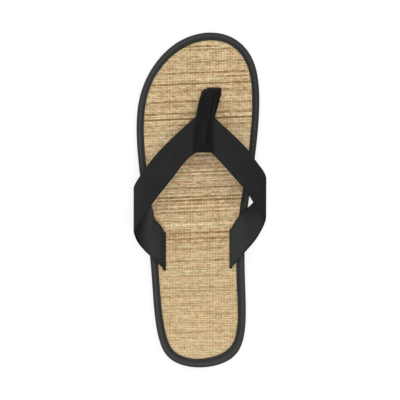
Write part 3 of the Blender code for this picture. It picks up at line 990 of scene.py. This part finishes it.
def tread(x, y):
    """Height of the underside: its level, and grooves over it, clear of the border.

    A groove is a squared cosine wave along the sole, and swings to and fro as a
    zig-zag across it.
    """
    lateral, medial = width_at(y, OUTSOLE_INSET_BOTTOM)
    clear = plateau(x, lateral + TREAD_BORDER, medial - TREAD_BORDER, 2, 2)
    clear = clear * plateau(y, HEEL_Y + 2 * TREAD_BORDER, TOE_Y - 2 * TREAD_BORDER, 3, 3)
    zigzag = np.abs((x / ZIGZAG_WIDTH) % 2 - 1) * ZIGZAG_DEPTH
    wave = 0.5 - 0.5 * np.cos((y + zigzag) * 2 * math.pi / TREAD_PITCH)
    return outsole_bottom(y) + TREAD_DEPTH * clear * wave**2


def pocketed_top(x, y):
    """Top of the foam, sunk where the strap's ends lie under the insole."""
    pockets = []
    for slit in SLITS:
        ends = sorted([slit.x - slit.inward * 1.2, slit.x + slit.inward * (TAB_LENGTH + GAP)])
        pockets.append(((*ends, slit.rear_y, slit.front_y), WEBBING))
    throat = LOOP_ROWS[-1]
    ends = (throat.x - throat.half_width, throat.x + throat.half_width)
    front_y = throat.y + throat.thickness / 2
    pockets.append(((*ends, throat.y - LOOP_TAB_LENGTH, front_y), throat.thickness))
    z = outsole_top(y)
    for box, thickness in pockets:
        sunk = outsole_top(y) - TAB_CLEARANCE - thickness - GAP
        z = np.where(in_box(x, y, box, POCKET_ROOM, POCKET_ROOM), sunk, z)
    return z


def rounded_edge(inset, degrees, level, sign):
    """Rings of a quarter round that ends at an inset: sign is -1 under level(y), 1 over it."""
    rings = []
    for a in np.radians(degrees):
        ring = outline_ring(inset + OUTSOLE_EDGE * (1 - math.cos(a)))
        z = level(ring[:, 1]) + sign * OUTSOLE_EDGE * (1 - math.sin(a))
        rings.append(np.column_stack([ring, z]))
    return rings


def make_outsole(material):
    """Foam slab: its top and its treaded underside as grids, joined by the rings of its side.

    The side runs straight from the round of its upper edge to that of its lower one.
    """
    columns = 64
    wall = rounded_edge(OUTSOLE_INSET_TOP, [90, 60, 30, 0], outsole_top, -1)
    high = wall[-1][:, 2]
    for t in np.linspace(0, 1, 9)[1:]:
        ring = outline_ring(OUTSOLE_INSET_TOP + (OUTSOLE_INSET_BOTTOM - OUTSOLE_INSET_TOP) * t)
        low = outsole_bottom(ring[:, 1]) + OUTSOLE_EDGE
        wall.append(np.column_stack([ring, high * (1 - t) + low * t]))
    wall += rounded_edge(OUTSOLE_INSET_BOTTOM, [30, 60, 90], outsole_bottom, 1)
    u = np.broadcast_to(outline_length(), (len(wall), RING + 1))
    v = np.broadcast_to(np.arange(len(wall))[:, None] * 1.1, u.shape)
    shape = Shape()
    first = shape.add_grid(np.array(wall), close_columns=True, flip=True, uv=(u, v))
    for ring_at, surface, flip in ((0, pocketed_top, False), (len(wall) - 1, tread, True)):
        cap = across_sole(wall[ring_at][:, :2], columns, surface)
        cap_first = shape.add_grid(cap[:, 1:-1], flip=flip)
        add_cap_edges(shape, first + ring_at * RING, cap_first, len(cap), columns - 2, flip)
    return shape.build("outsole_foam", material, 50)


def add_cap_edges(shape, ring_first, cap_first, rows, columns, flip):
    """Faces that join a cap's grid to its ring along both sides and at both tips."""
    lateral = ring_first + (-np.arange(1, rows + 1)) % RING
    medial = ring_first + np.arange(1, rows + 1)
    left = cap_first + np.arange(rows) * columns
    right = left + columns - 1
    blocks = [
        np.column_stack([lateral[:-1], lateral[1:], left[1:], left[:-1]]),
        np.column_stack([right[:-1], right[1:], medial[1:], medial[:-1]]),
    ]
    for tip, lateral_end, medial_end, start, front in (
        (ring_first, lateral[0], medial[0], cap_first, True),
        (ring_first + RING // 2, lateral[-1], medial[-1], left[-1], False),
    ):
        rim = np.concatenate([[lateral_end], start + np.arange(columns), [medial_end]])
        fan = np.column_stack([np.full(len(rim) - 1, tip), rim[:-1], rim[1:]])
        blocks.append(fan if front else fan[:, ::-1])
    for block in blocks:
        shape.add_faces(block[:, ::-1] if flip else block)


def laid_end(thickness, length):
    """(run, h) of an end that comes down upright, turns a quarter and lies flat."""
    bend = thickness / 2 + GAP
    depth = MAT_LEVEL + TAB_CLEARANCE + thickness / 2
    angles = np.linspace(0, math.pi / 2, BEND_STEPS + 1)
    turn = [(bend * (1 - math.cos(a)), bend * (1 - math.sin(a))) for a in angles]
    return [(run, h - depth) for run, h in turn] + [(length, -depth)]


def strap_side(rows, slit):
    """Rows of one side as (front x, y, h, rear x, y, h), from the vee to its laid end."""
    upright = [
        (slit.x, slit.front_y, h, slit.x, slit.rear_y, h) for h in (MOUTH_LEVEL, -MAT_LEVEL / 2)
    ]
    curve = smooth_rows([row[1:] for row in (VEE_ROW, *rows)] + upright, STRAP_SPANS)
    run, h = np.transpose(laid_end(WEBBING, TAB_LENGTH))
    x = slit.x + slit.inward * run
    y = np.ones(len(x))
    return np.vstack([curve, np.column_stack([x, slit.front_y * y, h, x, slit.rear_y * y, h])])


def strap_sheet(columns):
    """The webbing's middle sheet, ruled between its front and rear edges, and its normals."""
    lateral = strap_side(LATERAL_ROWS, SLITS[0])
    medial = strap_side(MEDIAL_ROWS, SLITS[1])
    edges = np.vstack([lateral[::-1], medial[1:]]).reshape(-1, 2, 3)
    edges[:, :, 2] += mat_top(edges[:, :, 1])
    across = np.linspace(0, 1, columns)[None, :, None]
    sheet = edges[:, :1] * (1 - across) + edges[:, 1:] * across
    return sheet, grid_normals(sheet)


def webbing_painted_light(from_edge):
    """Shade of the webbing: first over its lining, then over its outer face.

    It is painted light and shade, set in rows, with painted shade along both edges.
    """
    count, columns = from_edge.shape
    at = (np.arange(count) - (count - 1) / 2) / STRAP_SPANS
    row, *tones = np.transpose(STRAP_PAINTED_LIGHT)
    outer, lining_front, lining_rear = [np.interp(at, row, tone)[:, None] for tone in tones]
    across = np.linspace(0, 1, columns)
    # Painted shade along both edges of the webbing.
    edge = bell(from_edge, 1.6)
    lining = lining_front * (1 - across) + lining_rear * across - 0.35 * edge
    return np.concatenate([lining, (outer - 0.1 * edge)[:, ::-1]], axis=1)


def ribs(along, middle):
    """Half thickness that the weft yarns add: a cosine along the strap, deeper in a bend."""
    heading = unit(np.gradient(middle, axis=0))
    bend = np.linalg.norm(np.gradient(heading, axis=0), axis=1) / np.gradient(along)
    depth = 0.03 + 0.09 * smooth_step(bend * 9)
    return depth * np.cos(along * 2 * math.pi / RIB_PITCH)


def band_uv(along, across):
    """UVs of a band whose two faces lie side by side in a grid that is closed across."""
    v = np.concatenate([across, across[:, ::-1] + FACE_SHIFT, across[:, :1] + FACE_SHIFT], axis=1)
    return np.repeat(along[:, None], v.shape[1], axis=1), v


def make_webbing(material):
    """The V strap: both faces of the sheet, closed by round edges.

    Half its thickness is that of a flat band with rounded edges, drawn in a little
    along the two seams and ribbed across by its weft. Its tones are painted light and
    shade, its lining face painted paler.
    """
    columns = 33
    sheet, normals = strap_sheet(columns)
    width = np.linalg.norm(sheet[:, -1] - sheet[:, 0], axis=1)[:, None]
    share = np.linspace(0, 1, columns)
    from_edge = np.minimum(share, 1 - share) * width
    flat = WEBBING / 2
    half = flat * np.sqrt(np.clip(1 - (1 - np.clip(from_edge / flat, 0, 1)) ** 2, 0.05, 1))
    half = half - EDGE_SEAM_DRAW * bell(from_edge - EDGE_SEAM, 0.55)
    middle = sheet[:, columns // 2]
    along = arc_length(middle)
    lift = normals * (half + ribs(along, middle)[:, None])[:, :, None]
    shape = Shape()
    shape.add_tube(
        np.concatenate([sheet + lift, (sheet - lift)[:, ::-1]], axis=1),
        uv=band_uv(along, share * width),
    )
    shape.mark(tone=webbing_painted_light(from_edge))
    return shape.build("strap_webbing", material, 70)


def make_strap_seams(material):
    """Two rows of stitches on either face of the strap, a little in from its edges."""
    columns = 65
    sheet, normals = strap_sheet(columns)
    width = np.linalg.norm(sheet[:, -1] - sheet[:, 0], axis=1)
    above = sheet[:, 0, 2] - mat_top(sheet[:, 0, 1]) > 1.0
    shape = Shape()
    for share in (EDGE_SEAM / width, 1 - EDGE_SEAM / width):
        line = sheet[:, 0] * (1 - share[:, None]) + sheet[:, -1] * share[:, None]
        facing = normals[np.arange(len(sheet)), np.round(share * (columns - 1)).astype(int)]
        for outwards in (facing, -facing):
            path = line + outwards * (WEBBING / 2 - EDGE_SEAM_DRAW)
            stitches(shape, path[above], outwards[above], pitch=2.6, length=1.9, radius=0.2)
    return shape.build("strap_seams", material)


def loop_rows():
    """Rows of the band from its rear lip to its laid end, as columns: x, y, z, h and its sizes."""
    rows = smooth_rows([row[1:] for row in LOOP_ROWS], LOOP_SPANS)
    throat = LOOP_ROWS[-1]
    laid = laid_end(throat.thickness, LOOP_TAB_LENGTH)
    flat = [throat._replace(y=throat.y - run, h=h)[1:] for run, h in laid]
    x, y, h, thickness, half_width, crown = np.vstack([rows, flat]).T
    return x, y, mat_top(y) + h, h, thickness, half_width, crown


def across_loop():
    """Shares of the half width at the band's lines, closer together towards its edges."""
    return np.sin(np.linspace(-1, 1, LOOP_ACROSS + 1) * math.pi / 2)


def pleat_lift(y, across):
    """Height that the pleats and the hem add to the outer face.

    A pleat is a bell across the band that drifts sideways as it runs forward. The hem
    is a groove at one y.
    """
    lift = -HEM_DEPTH * bell(y - HEM_Y, 0.6)
    for pleat in PLEATS:
        run = np.clip((y - pleat.start) / (pleat.end - pleat.start), 0, 1)
        centre = pleat.across + pleat.drift * (run - 0.5)
        height = pleat.height * np.sin(run * math.pi) ** 0.7
        lift = lift + height * bell(across - centre, pleat.width)
    return lift


def crease_lift(y, across):
    """Height that the crease adds: a roof, whose ridge slants over the front."""
    ridge = CREASE_ACROSS - CREASE_SLANT * (y - CREASE_Y)
    over_front = plateau(y, 70, 95, 6, 5)
    return CREASE_HEIGHT * over_front * (0.45 - np.sqrt((across - ridge) ** 2 + 0.004))


def loop_faces():
    """Outer and inner face of the band as grids, its length along, and its half widths.

    Sections are crowned, square to the run, and bevelled at both edges. Both edges
    are turned back on the way into the mat.
    """
    x, y, z, h, thickness, half_width, crown = [column[:, None] for column in loop_rows()]
    run = unit(np.hstack([np.gradient(y, axis=0), np.gradient(z, axis=0)]))
    up_y, up_z = -run[:, 1:], run[:, :1]
    across = across_loop()
    round_edge = np.sqrt(np.clip(1 - across**6, 0.02, 1))
    free = smooth_step((h + 1.0) / 3.0)
    folds = free * (pleat_lift(y, across) + crease_lift(y, across)) * round_edge
    turned = np.where(y < LOOP_ROWS[-1].y - 6, 0, curl(across, h))
    faces = []
    for side, raised in ((0.5, folds), (-0.5, 0)):
        lift = crown * (0.4 - across**2) + side * thickness * round_edge + raised
        faces.append(np.stack([
            x + half_width * across,
            y + up_y * lift - turned,
            z + up_z * lift,
        ], axis=2))
    return faces[0], faces[1], arc_length(np.hstack([x, y, z])), half_width


def loop_painted_light(outer):
    """Painted light and shade of the band, first over its outer face: a painted highlight on the
    ridges of its pleats and crease, painted shade in the troughs between them and in the hem's
    groove.
    """
    y = outer[:, LOOP_ACROSS // 2, 1:2]
    lift = 1.2 * pleat_lift(y, across_loop()) + 0.2 * crease_lift(y, across_loop())
    return np.concatenate([0.45 + lift, np.full(lift.shape, 0.4)], axis=1)


def make_toe_loop(material):
    """The band that holds the vee down, from its hemmed rear end to its laid end."""
    outer, inner, along, half_width = loop_faces()
    across = np.linspace(-1, 1, LOOP_ACROSS + 1) * half_width
    shape = Shape()
    shape.add_tube(
        np.concatenate([outer, inner[:, ::-1]], axis=1), flip=True, uv=band_uv(along, across)
    )
    shape.mark(tone=loop_painted_light(outer))
    return shape.build("toe_loop", material, 70)


def make_loop_seam(material):
    """Stitches in the hem, across the rear end of the band."""
    outer = loop_faces()[0]
    row = int(np.argmin(np.abs(outer[:, LOOP_ACROSS // 2, 1] - HEM_Y)))
    normals = grid_normals(outer)[row]
    shape = Shape()
    stitches(shape, outer[row, 2:-2], normals[2:-2], pitch=2.2, length=1.6, radius=0.2)
    return shape.build("loop_seam", material)


# ---------------------------------------------------------------- materials


def feed(tree, socket, value):
    """Links an output into a socket, or sets a plain value on it."""
    if isinstance(value, bpy.types.NodeSocket):
        tree.links.new(value, socket)
    else:
        socket.default_value = value


def add_node(tree, kind, settings=None, **inputs):
    """A node with its settings. An input goes by its name, or by its number after an i."""
    node = tree.nodes.new(kind)
    for key, value in (settings or {}).items():
        setattr(node, key, value)
    for key, value in inputs.items():
        feed(tree, node.inputs[int(key[1:]) if key[1:].isdigit() else key], value)
    return node


def calc(tree, operation, *values):
    """A Math node's result."""
    inputs = {f"i{k}": value for k, value in enumerate(values)}
    return add_node(tree, "ShaderNodeMath", {"operation": operation}, **inputs).outputs[0]


def mix_colours(tree, factor, first, second, blend="MIX"):
    """A Mix node's colour, between two colours given as sockets or as red, green and blue.

    The node itself keeps the factor between 0 and 1.
    """
    node = add_node(tree, "ShaderNodeMix", {"data_type": "RGBA", "blend_type": blend}, i0=factor)
    for socket, value in zip(node.inputs[6:8], (first, second)):
        feed(tree, socket, (*value, 1.0) if isinstance(value, tuple) else value)
    return node.outputs[2]


def noise(tree, place, scale, detail, roughness=0.5):
    """Noise over a place, at one scale or at one for each axis."""
    if isinstance(scale, tuple):
        place = add_node(tree, "ShaderNodeMapping", Vector=place, Scale=scale).outputs[0]
        scale = 1.0
    return add_node(tree, "ShaderNodeTexNoise", Vector=place, Scale=scale, Detail=detail,
                    Roughness=roughness).outputs[0]


def mesh_value(tree, name):
    """The mesh's own value by that name."""
    return add_node(tree, "ShaderNodeAttribute", {"attribute_name": name}).outputs["Fac"]


def new_group(name, inputs, outputs):
    """A node group: inputs by name with a plain value, or None for a vector, and outputs."""
    tree = bpy.data.node_groups.new(name, "ShaderNodeTree")
    for label, value in inputs.items():
        kind = "NodeSocketVector" if value is None else "NodeSocketFloat"
        socket = tree.interface.new_socket(label, in_out="INPUT", socket_type=kind)
        if value is not None:
            socket.default_value = value
    for label in outputs:
        tree.interface.new_socket(label, in_out="OUTPUT", socket_type="NodeSocketFloat")
    return tree, tree.nodes.new("NodeGroupInput").outputs, tree.nodes.new("NodeGroupOutput").inputs


def weave_group():
    """Plain weave: yarns are half sines, over and under by the parity of their cell."""
    tree, given, result = new_group("weave", {"Place": None, "Warp": 0.6, "Weft": 0.6}, ["Height"])
    parts = add_node(tree, "ShaderNodeSeparateXYZ", i0=given["Place"]).outputs
    u = calc(tree, "DIVIDE", parts[0], given["Warp"])
    v = calc(tree, "DIVIDE", parts[1], given["Weft"])
    sine_u, sine_v = [
        calc(tree, "ABSOLUTE", calc(tree, "SINE", calc(tree, "MULTIPLY", yarns, math.pi)))
        for yarns in (u, v)
    ]
    cells = calc(tree, "ADD", calc(tree, "FLOOR", u), calc(tree, "FLOOR", v))
    parity = calc(tree, "PINGPONG", cells, 1.0)
    over = calc(tree, "MULTIPLY", sine_u, calc(tree, "MULTIPLY_ADD", sine_v, 0.5, 0.5))
    under = calc(tree, "MULTIPLY", sine_v, calc(tree, "MULTIPLY_ADD", sine_u, 0.5, 0.5))
    first = calc(tree, "MULTIPLY", over, parity)
    second = calc(tree, "MULTIPLY", under, calc(tree, "SUBTRACT", 1.0, parity))
    tree.links.new(calc(tree, "ADD", first, second), result["Height"])
    return tree


def fuzz_group():
    """Lint and dust: broad cloudy patches and fine specks, both over the surface."""
    inputs = {"Place": None, "Cloud Scale": 60.0, "Speck Scale": 900.0}
    tree, given, result = new_group("fuzz", inputs, ["Cloud", "Specks"])
    cloud = noise(tree, given["Place"], given["Cloud Scale"], 3.0, 0.6)
    tree.links.new(cloud, result["Cloud"])
    specks = noise(tree, given["Place"], given["Speck Scale"], 1.0)
    bright = calc(tree, "SMOOTH_MIN", calc(tree, "MULTIPLY", specks, 1.2), 1.0, 0.1)
    tree.links.new(bright, result["Specks"])
    return tree


WEAVE = weave_group()
FUZZ = fuzz_group()


def use_group(tree, group, **inputs):
    """A group's outputs, fed by the names of its inputs."""
    node = tree.nodes.new("ShaderNodeGroup")
    node.node_tree = group
    for key, value in inputs.items():
        feed(tree, node.inputs[key.replace("_", " ")], value)
    return node.outputs


def new_material(name, **sockets):
    """A material with a Principled BSDF whose plain values are set on its own sockets."""
    material = bpy.data.materials.new(name)
    material.use_nodes = True
    shader = material.node_tree.nodes["Principled BSDF"]
    for key, value in sockets.items():
        shader.inputs[key.replace("_", " ")].default_value = value
    return material, material.node_tree, shader.inputs


def finish(tree, shader, colour, height, bump_mm, roughness=None):
    """Links a material's colour, its relief and, where that changes, its roughness."""
    tree.links.new(colour, shader["Base Color"])
    if roughness is not None:
        tree.links.new(roughness, shader["Roughness"])
    relief = add_node(tree, "ShaderNodeBump", Height=height, Distance=bump_mm * MM, Strength=1.0)
    tree.links.new(relief.outputs[0], shader["Normal"])


def own_place(tree):
    """A point's place on the object, in metres."""
    return tree.nodes.new("ShaderNodeTexCoord").outputs["Object"]


def cloth_material(name, dark, light, warp, weft, rough, bump_mm, sheen, level):
    """Woven cloth: yarns with painted shade in their gaps, paler on their crowns, clouded and
    linty.

    The mesh's value tone makes a stretch of it paler or darker, mostly as painted light and shade.
    """
    material, tree, shader = new_material(
        name, Sheen_Weight=sheen, Sheen_Roughness=0.45, Specular_IOR_Level=level
    )
    cloth = add_node(tree, "ShaderNodeUVMap", {"uv_map": "cloth"}).outputs[0]
    weave = use_group(tree, WEAVE, Place=cloth, Warp=warp, Weft=weft)
    fuzz = use_group(tree, FUZZ, Place=own_place(tree), Cloud_Scale=70.0, Speck_Scale=1400.0)
    tone = calc(tree, "ADD", mesh_value(tree, "tone"), -0.5)
    # The weave's height paints shade into the gaps between the yarns; cloud and specks are lint and
    # dust.
    for part, share in ((weave["Height"], 0.4), (fuzz["Cloud"], 0.3), (fuzz["Specks"], 0.3)):
        tone = calc(tree, "MULTIPLY_ADD", part, share, tone)
    roughness = calc(tree, "MULTIPLY_ADD", fuzz["Cloud"], 0.15, rough - 0.07)
    height = calc(tree, "MULTIPLY_ADD", fuzz["Specks"], 0.4, weave["Height"])
    finish(tree, shader, mix_colours(tree, tone, dark, light), height, bump_mm, roughness)
    return material


def straw_material():
    """Split straw: its own shade and tint, streaked and blotched by the fibres along it."""
    material, tree, shader = new_material("straw", Specular_IOR_Level=0.35)
    place = own_place(tree)
    fibres = noise(tree, place, (90.0, 3600.0, 2600.0), 3.0)
    blotches = noise(tree, place, (520.0, 900.0, 900.0), 2.0)
    tone = calc(tree, "ADD", mesh_value(tree, "shade"), -0.46)
    for part, share in ((fibres, 0.42), (blotches, 0.5)):
        tone = calc(tree, "MULTIPLY_ADD", part, share, tone)
    ramp = add_node(tree, "ShaderNodeValToRGB", Fac=tone)
    elements = ramp.color_ramp.elements
    while len(elements) < len(STRAW_COLOURS):
        elements.new(0.5)
    for element, (position, colour) in zip(elements, STRAW_COLOURS):
        element.position = position
        element.color = (*colour, 1.0)
    cast = mix_colours(tree, mesh_value(tree, "tint"), (0.90, 1.0, 0.90), (0.99, 0.91, 0.86))
    colour = mix_colours(tree, 1.0, ramp.outputs[0], cast, "MULTIPLY")
    finish(tree, shader, colour, fibres, 0.06, calc(tree, "MULTIPLY_ADD", fibres, 0.25, 0.42))
    return material


def thread_material(name, colour):
    """Twisted thread: a fine ply in bump and tone, browned where the mesh's shade says."""
    material, tree, shader = new_material(name, Roughness=0.8, Specular_IOR_Level=0.3)
    plies = noise(tree, own_place(tree), 2600.0, 2.0)
    plain = mix_colours(tree, plies, tuple(0.62 * c for c in colour), colour)
    stained = mix_colours(tree, mesh_value(tree, "shade"), plain, (0.22, 0.13, 0.05))
    finish(tree, shader, stained, plies, 0.05)
    return material


def foam_material():
    """Closed-cell foam: small cells, faint cut lines down the side and grey scuffs."""
    material, tree, shader = new_material("foam", Specular_IOR_Level=0.3)
    place = own_place(tree)
    cells = add_node(tree, "ShaderNodeTexVoronoi", Vector=place, Scale=1500.0).outputs[0]
    fuzz = use_group(tree, FUZZ, Place=place, Cloud_Scale=45.0, Speck_Scale=2400.0)
    cuts = calc(tree, "MULTIPLY", noise(tree, place, (700.0, 700.0, 30.0), 2.0), 0.5)
    tone = calc(tree, "SUBTRACT", calc(tree, "MULTIPLY_ADD", fuzz["Cloud"], 0.7, cuts), 0.2)
    colour = mix_colours(tree, tone, (0.011, 0.011, 0.012), (0.030, 0.030, 0.031))
    roughness = calc(tree, "MULTIPLY_ADD", fuzz["Cloud"], 0.25, 0.55)
    finish(tree, shader, colour, calc(tree, "MULTIPLY_ADD", cells, 0.6, cuts), 0.12, roughness)
    return material


def backing_material():
    """Felt-like board under the straws, brown in their shade."""
    material, tree, shader = new_material("backing", Roughness=0.9, Specular_IOR_Level=0.2)
    fibres = noise(tree, own_place(tree), 900.0, 4.0)
    colour = mix_colours(tree, fibres, (0.14, 0.09, 0.05), (0.27, 0.19, 0.11))
    finish(tree, shader, colour, fibres, 0.1)
    return material


# ---------------------------------------------------------------- stage


def make_floor():
    """Plain pale paper, just under the sole."""
    mesh = bpy.data.meshes.new("floor")
    corners = [(-FLOOR, -FLOOR, 0), (FLOOR, -FLOOR, 0), (FLOOR, FLOOR, 0), (-FLOOR, FLOOR, 0)]
    mesh.from_pydata(corners, [], [(0, 1, 2, 3)])
    material, _, _ = new_material(
        "floor_paper",
        Base_Color=(0.30, 0.30, 0.30, 1),
        Roughness=0.9,
        Specular_IOR_Level=0.2,
        Emission_Color=(1.0, 1.0, 1.0, 1),
        Emission_Strength=0.70,
    )
    mesh.materials.append(material)
    floor = add_object("floor", mesh)
    floor.location.z = -0.0002


def make_light(name, place, size, power):
    """A soft square lamp that faces the shoe."""
    lamp = bpy.data.lights.new(name, "AREA")
    lamp.size = size
    lamp.energy = power
    light = add_object(name, lamp)
    light.location = place
    light.rotation_mode = "QUATERNION"
    light.rotation_quaternion = light.location.to_track_quat("Z", "Y")
    light.visible_camera = False


def make_studio():
    """Soft light from all round, and two lamps over the shoe."""
    world = bpy.data.worlds.new("studio")
    world.use_nodes = True
    background = world.node_tree.nodes["Background"]
    background.inputs["Color"].default_value = (1.0, 1.0, 1.0, 1.0)
    background.inputs["Strength"].default_value = 0.80
    bpy.context.scene.world = world
    make_light("key", (-0.4, -0.35, 1.7), 1.6, 13.0)
    make_light("fill", (0.5, 0.3, 1.7), 1.2, 12.0)
    bpy.context.scene.view_settings.view_transform = "Standard"


def make_camera():
    """Straight down over the middle of the shoe, with a long lens."""
    low, high = CAD_BOX
    data = bpy.data.cameras.new("camera")
    data.lens = 300.0
    data.sensor_width = 36.0
    data.clip_end = 20.0
    seen = (high.y - low.y) / FILLED
    middle = (low + high) / 2
    camera = add_object("camera", data)
    camera.location = (middle.x, middle.y, middle.z + seen / data.sensor_width * data.lens)
    bpy.context.scene.camera = camera


def main():
    """Makes each piece in its material, and the stage round them."""
    straw = straw_material()
    cotton = thread_material("cotton_thread", (0.80, 0.66, 0.45))
    black_thread = thread_material("black_thread", (0.020, 0.020, 0.020))
    tape = cloth_material("tape", (0.010, 0.010, 0.010), (0.043, 0.042, 0.041),
                          warp=0.5, weft=0.5, rough=0.85, bump_mm=0.10, sheen=0.05, level=0.2)
    webbing = cloth_material("webbing", (0.001, 0.001, 0.001), (0.040, 0.040, 0.040),
                             warp=0.7, weft=0.9, rough=0.85, bump_mm=0.10, sheen=0.01, level=0.08)
    velour = cloth_material("velour", (0.001, 0.001, 0.001), (0.012, 0.012, 0.012),
                            warp=0.35, weft=0.35, rough=0.9, bump_mm=0.05, sheen=0.04, level=0.08)
    dress(make_straws(straw), "insole")
    dress(make_threads(cotton), "insole")
    dress(make_backing(backing_material()), "insole")
    dress(make_tape(tape), "binding")
    dress(make_tape_seam(black_thread), "binding")
    dress(make_outsole(foam_material()), "outsole")
    dress(make_webbing(webbing), "upper")
    dress(make_strap_seams(black_thread), "upper")
    dress(make_toe_loop(velour), "upper")
    dress(make_loop_seam(black_thread), "upper")
    make_floor()
    make_studio()
    make_camera()


main()
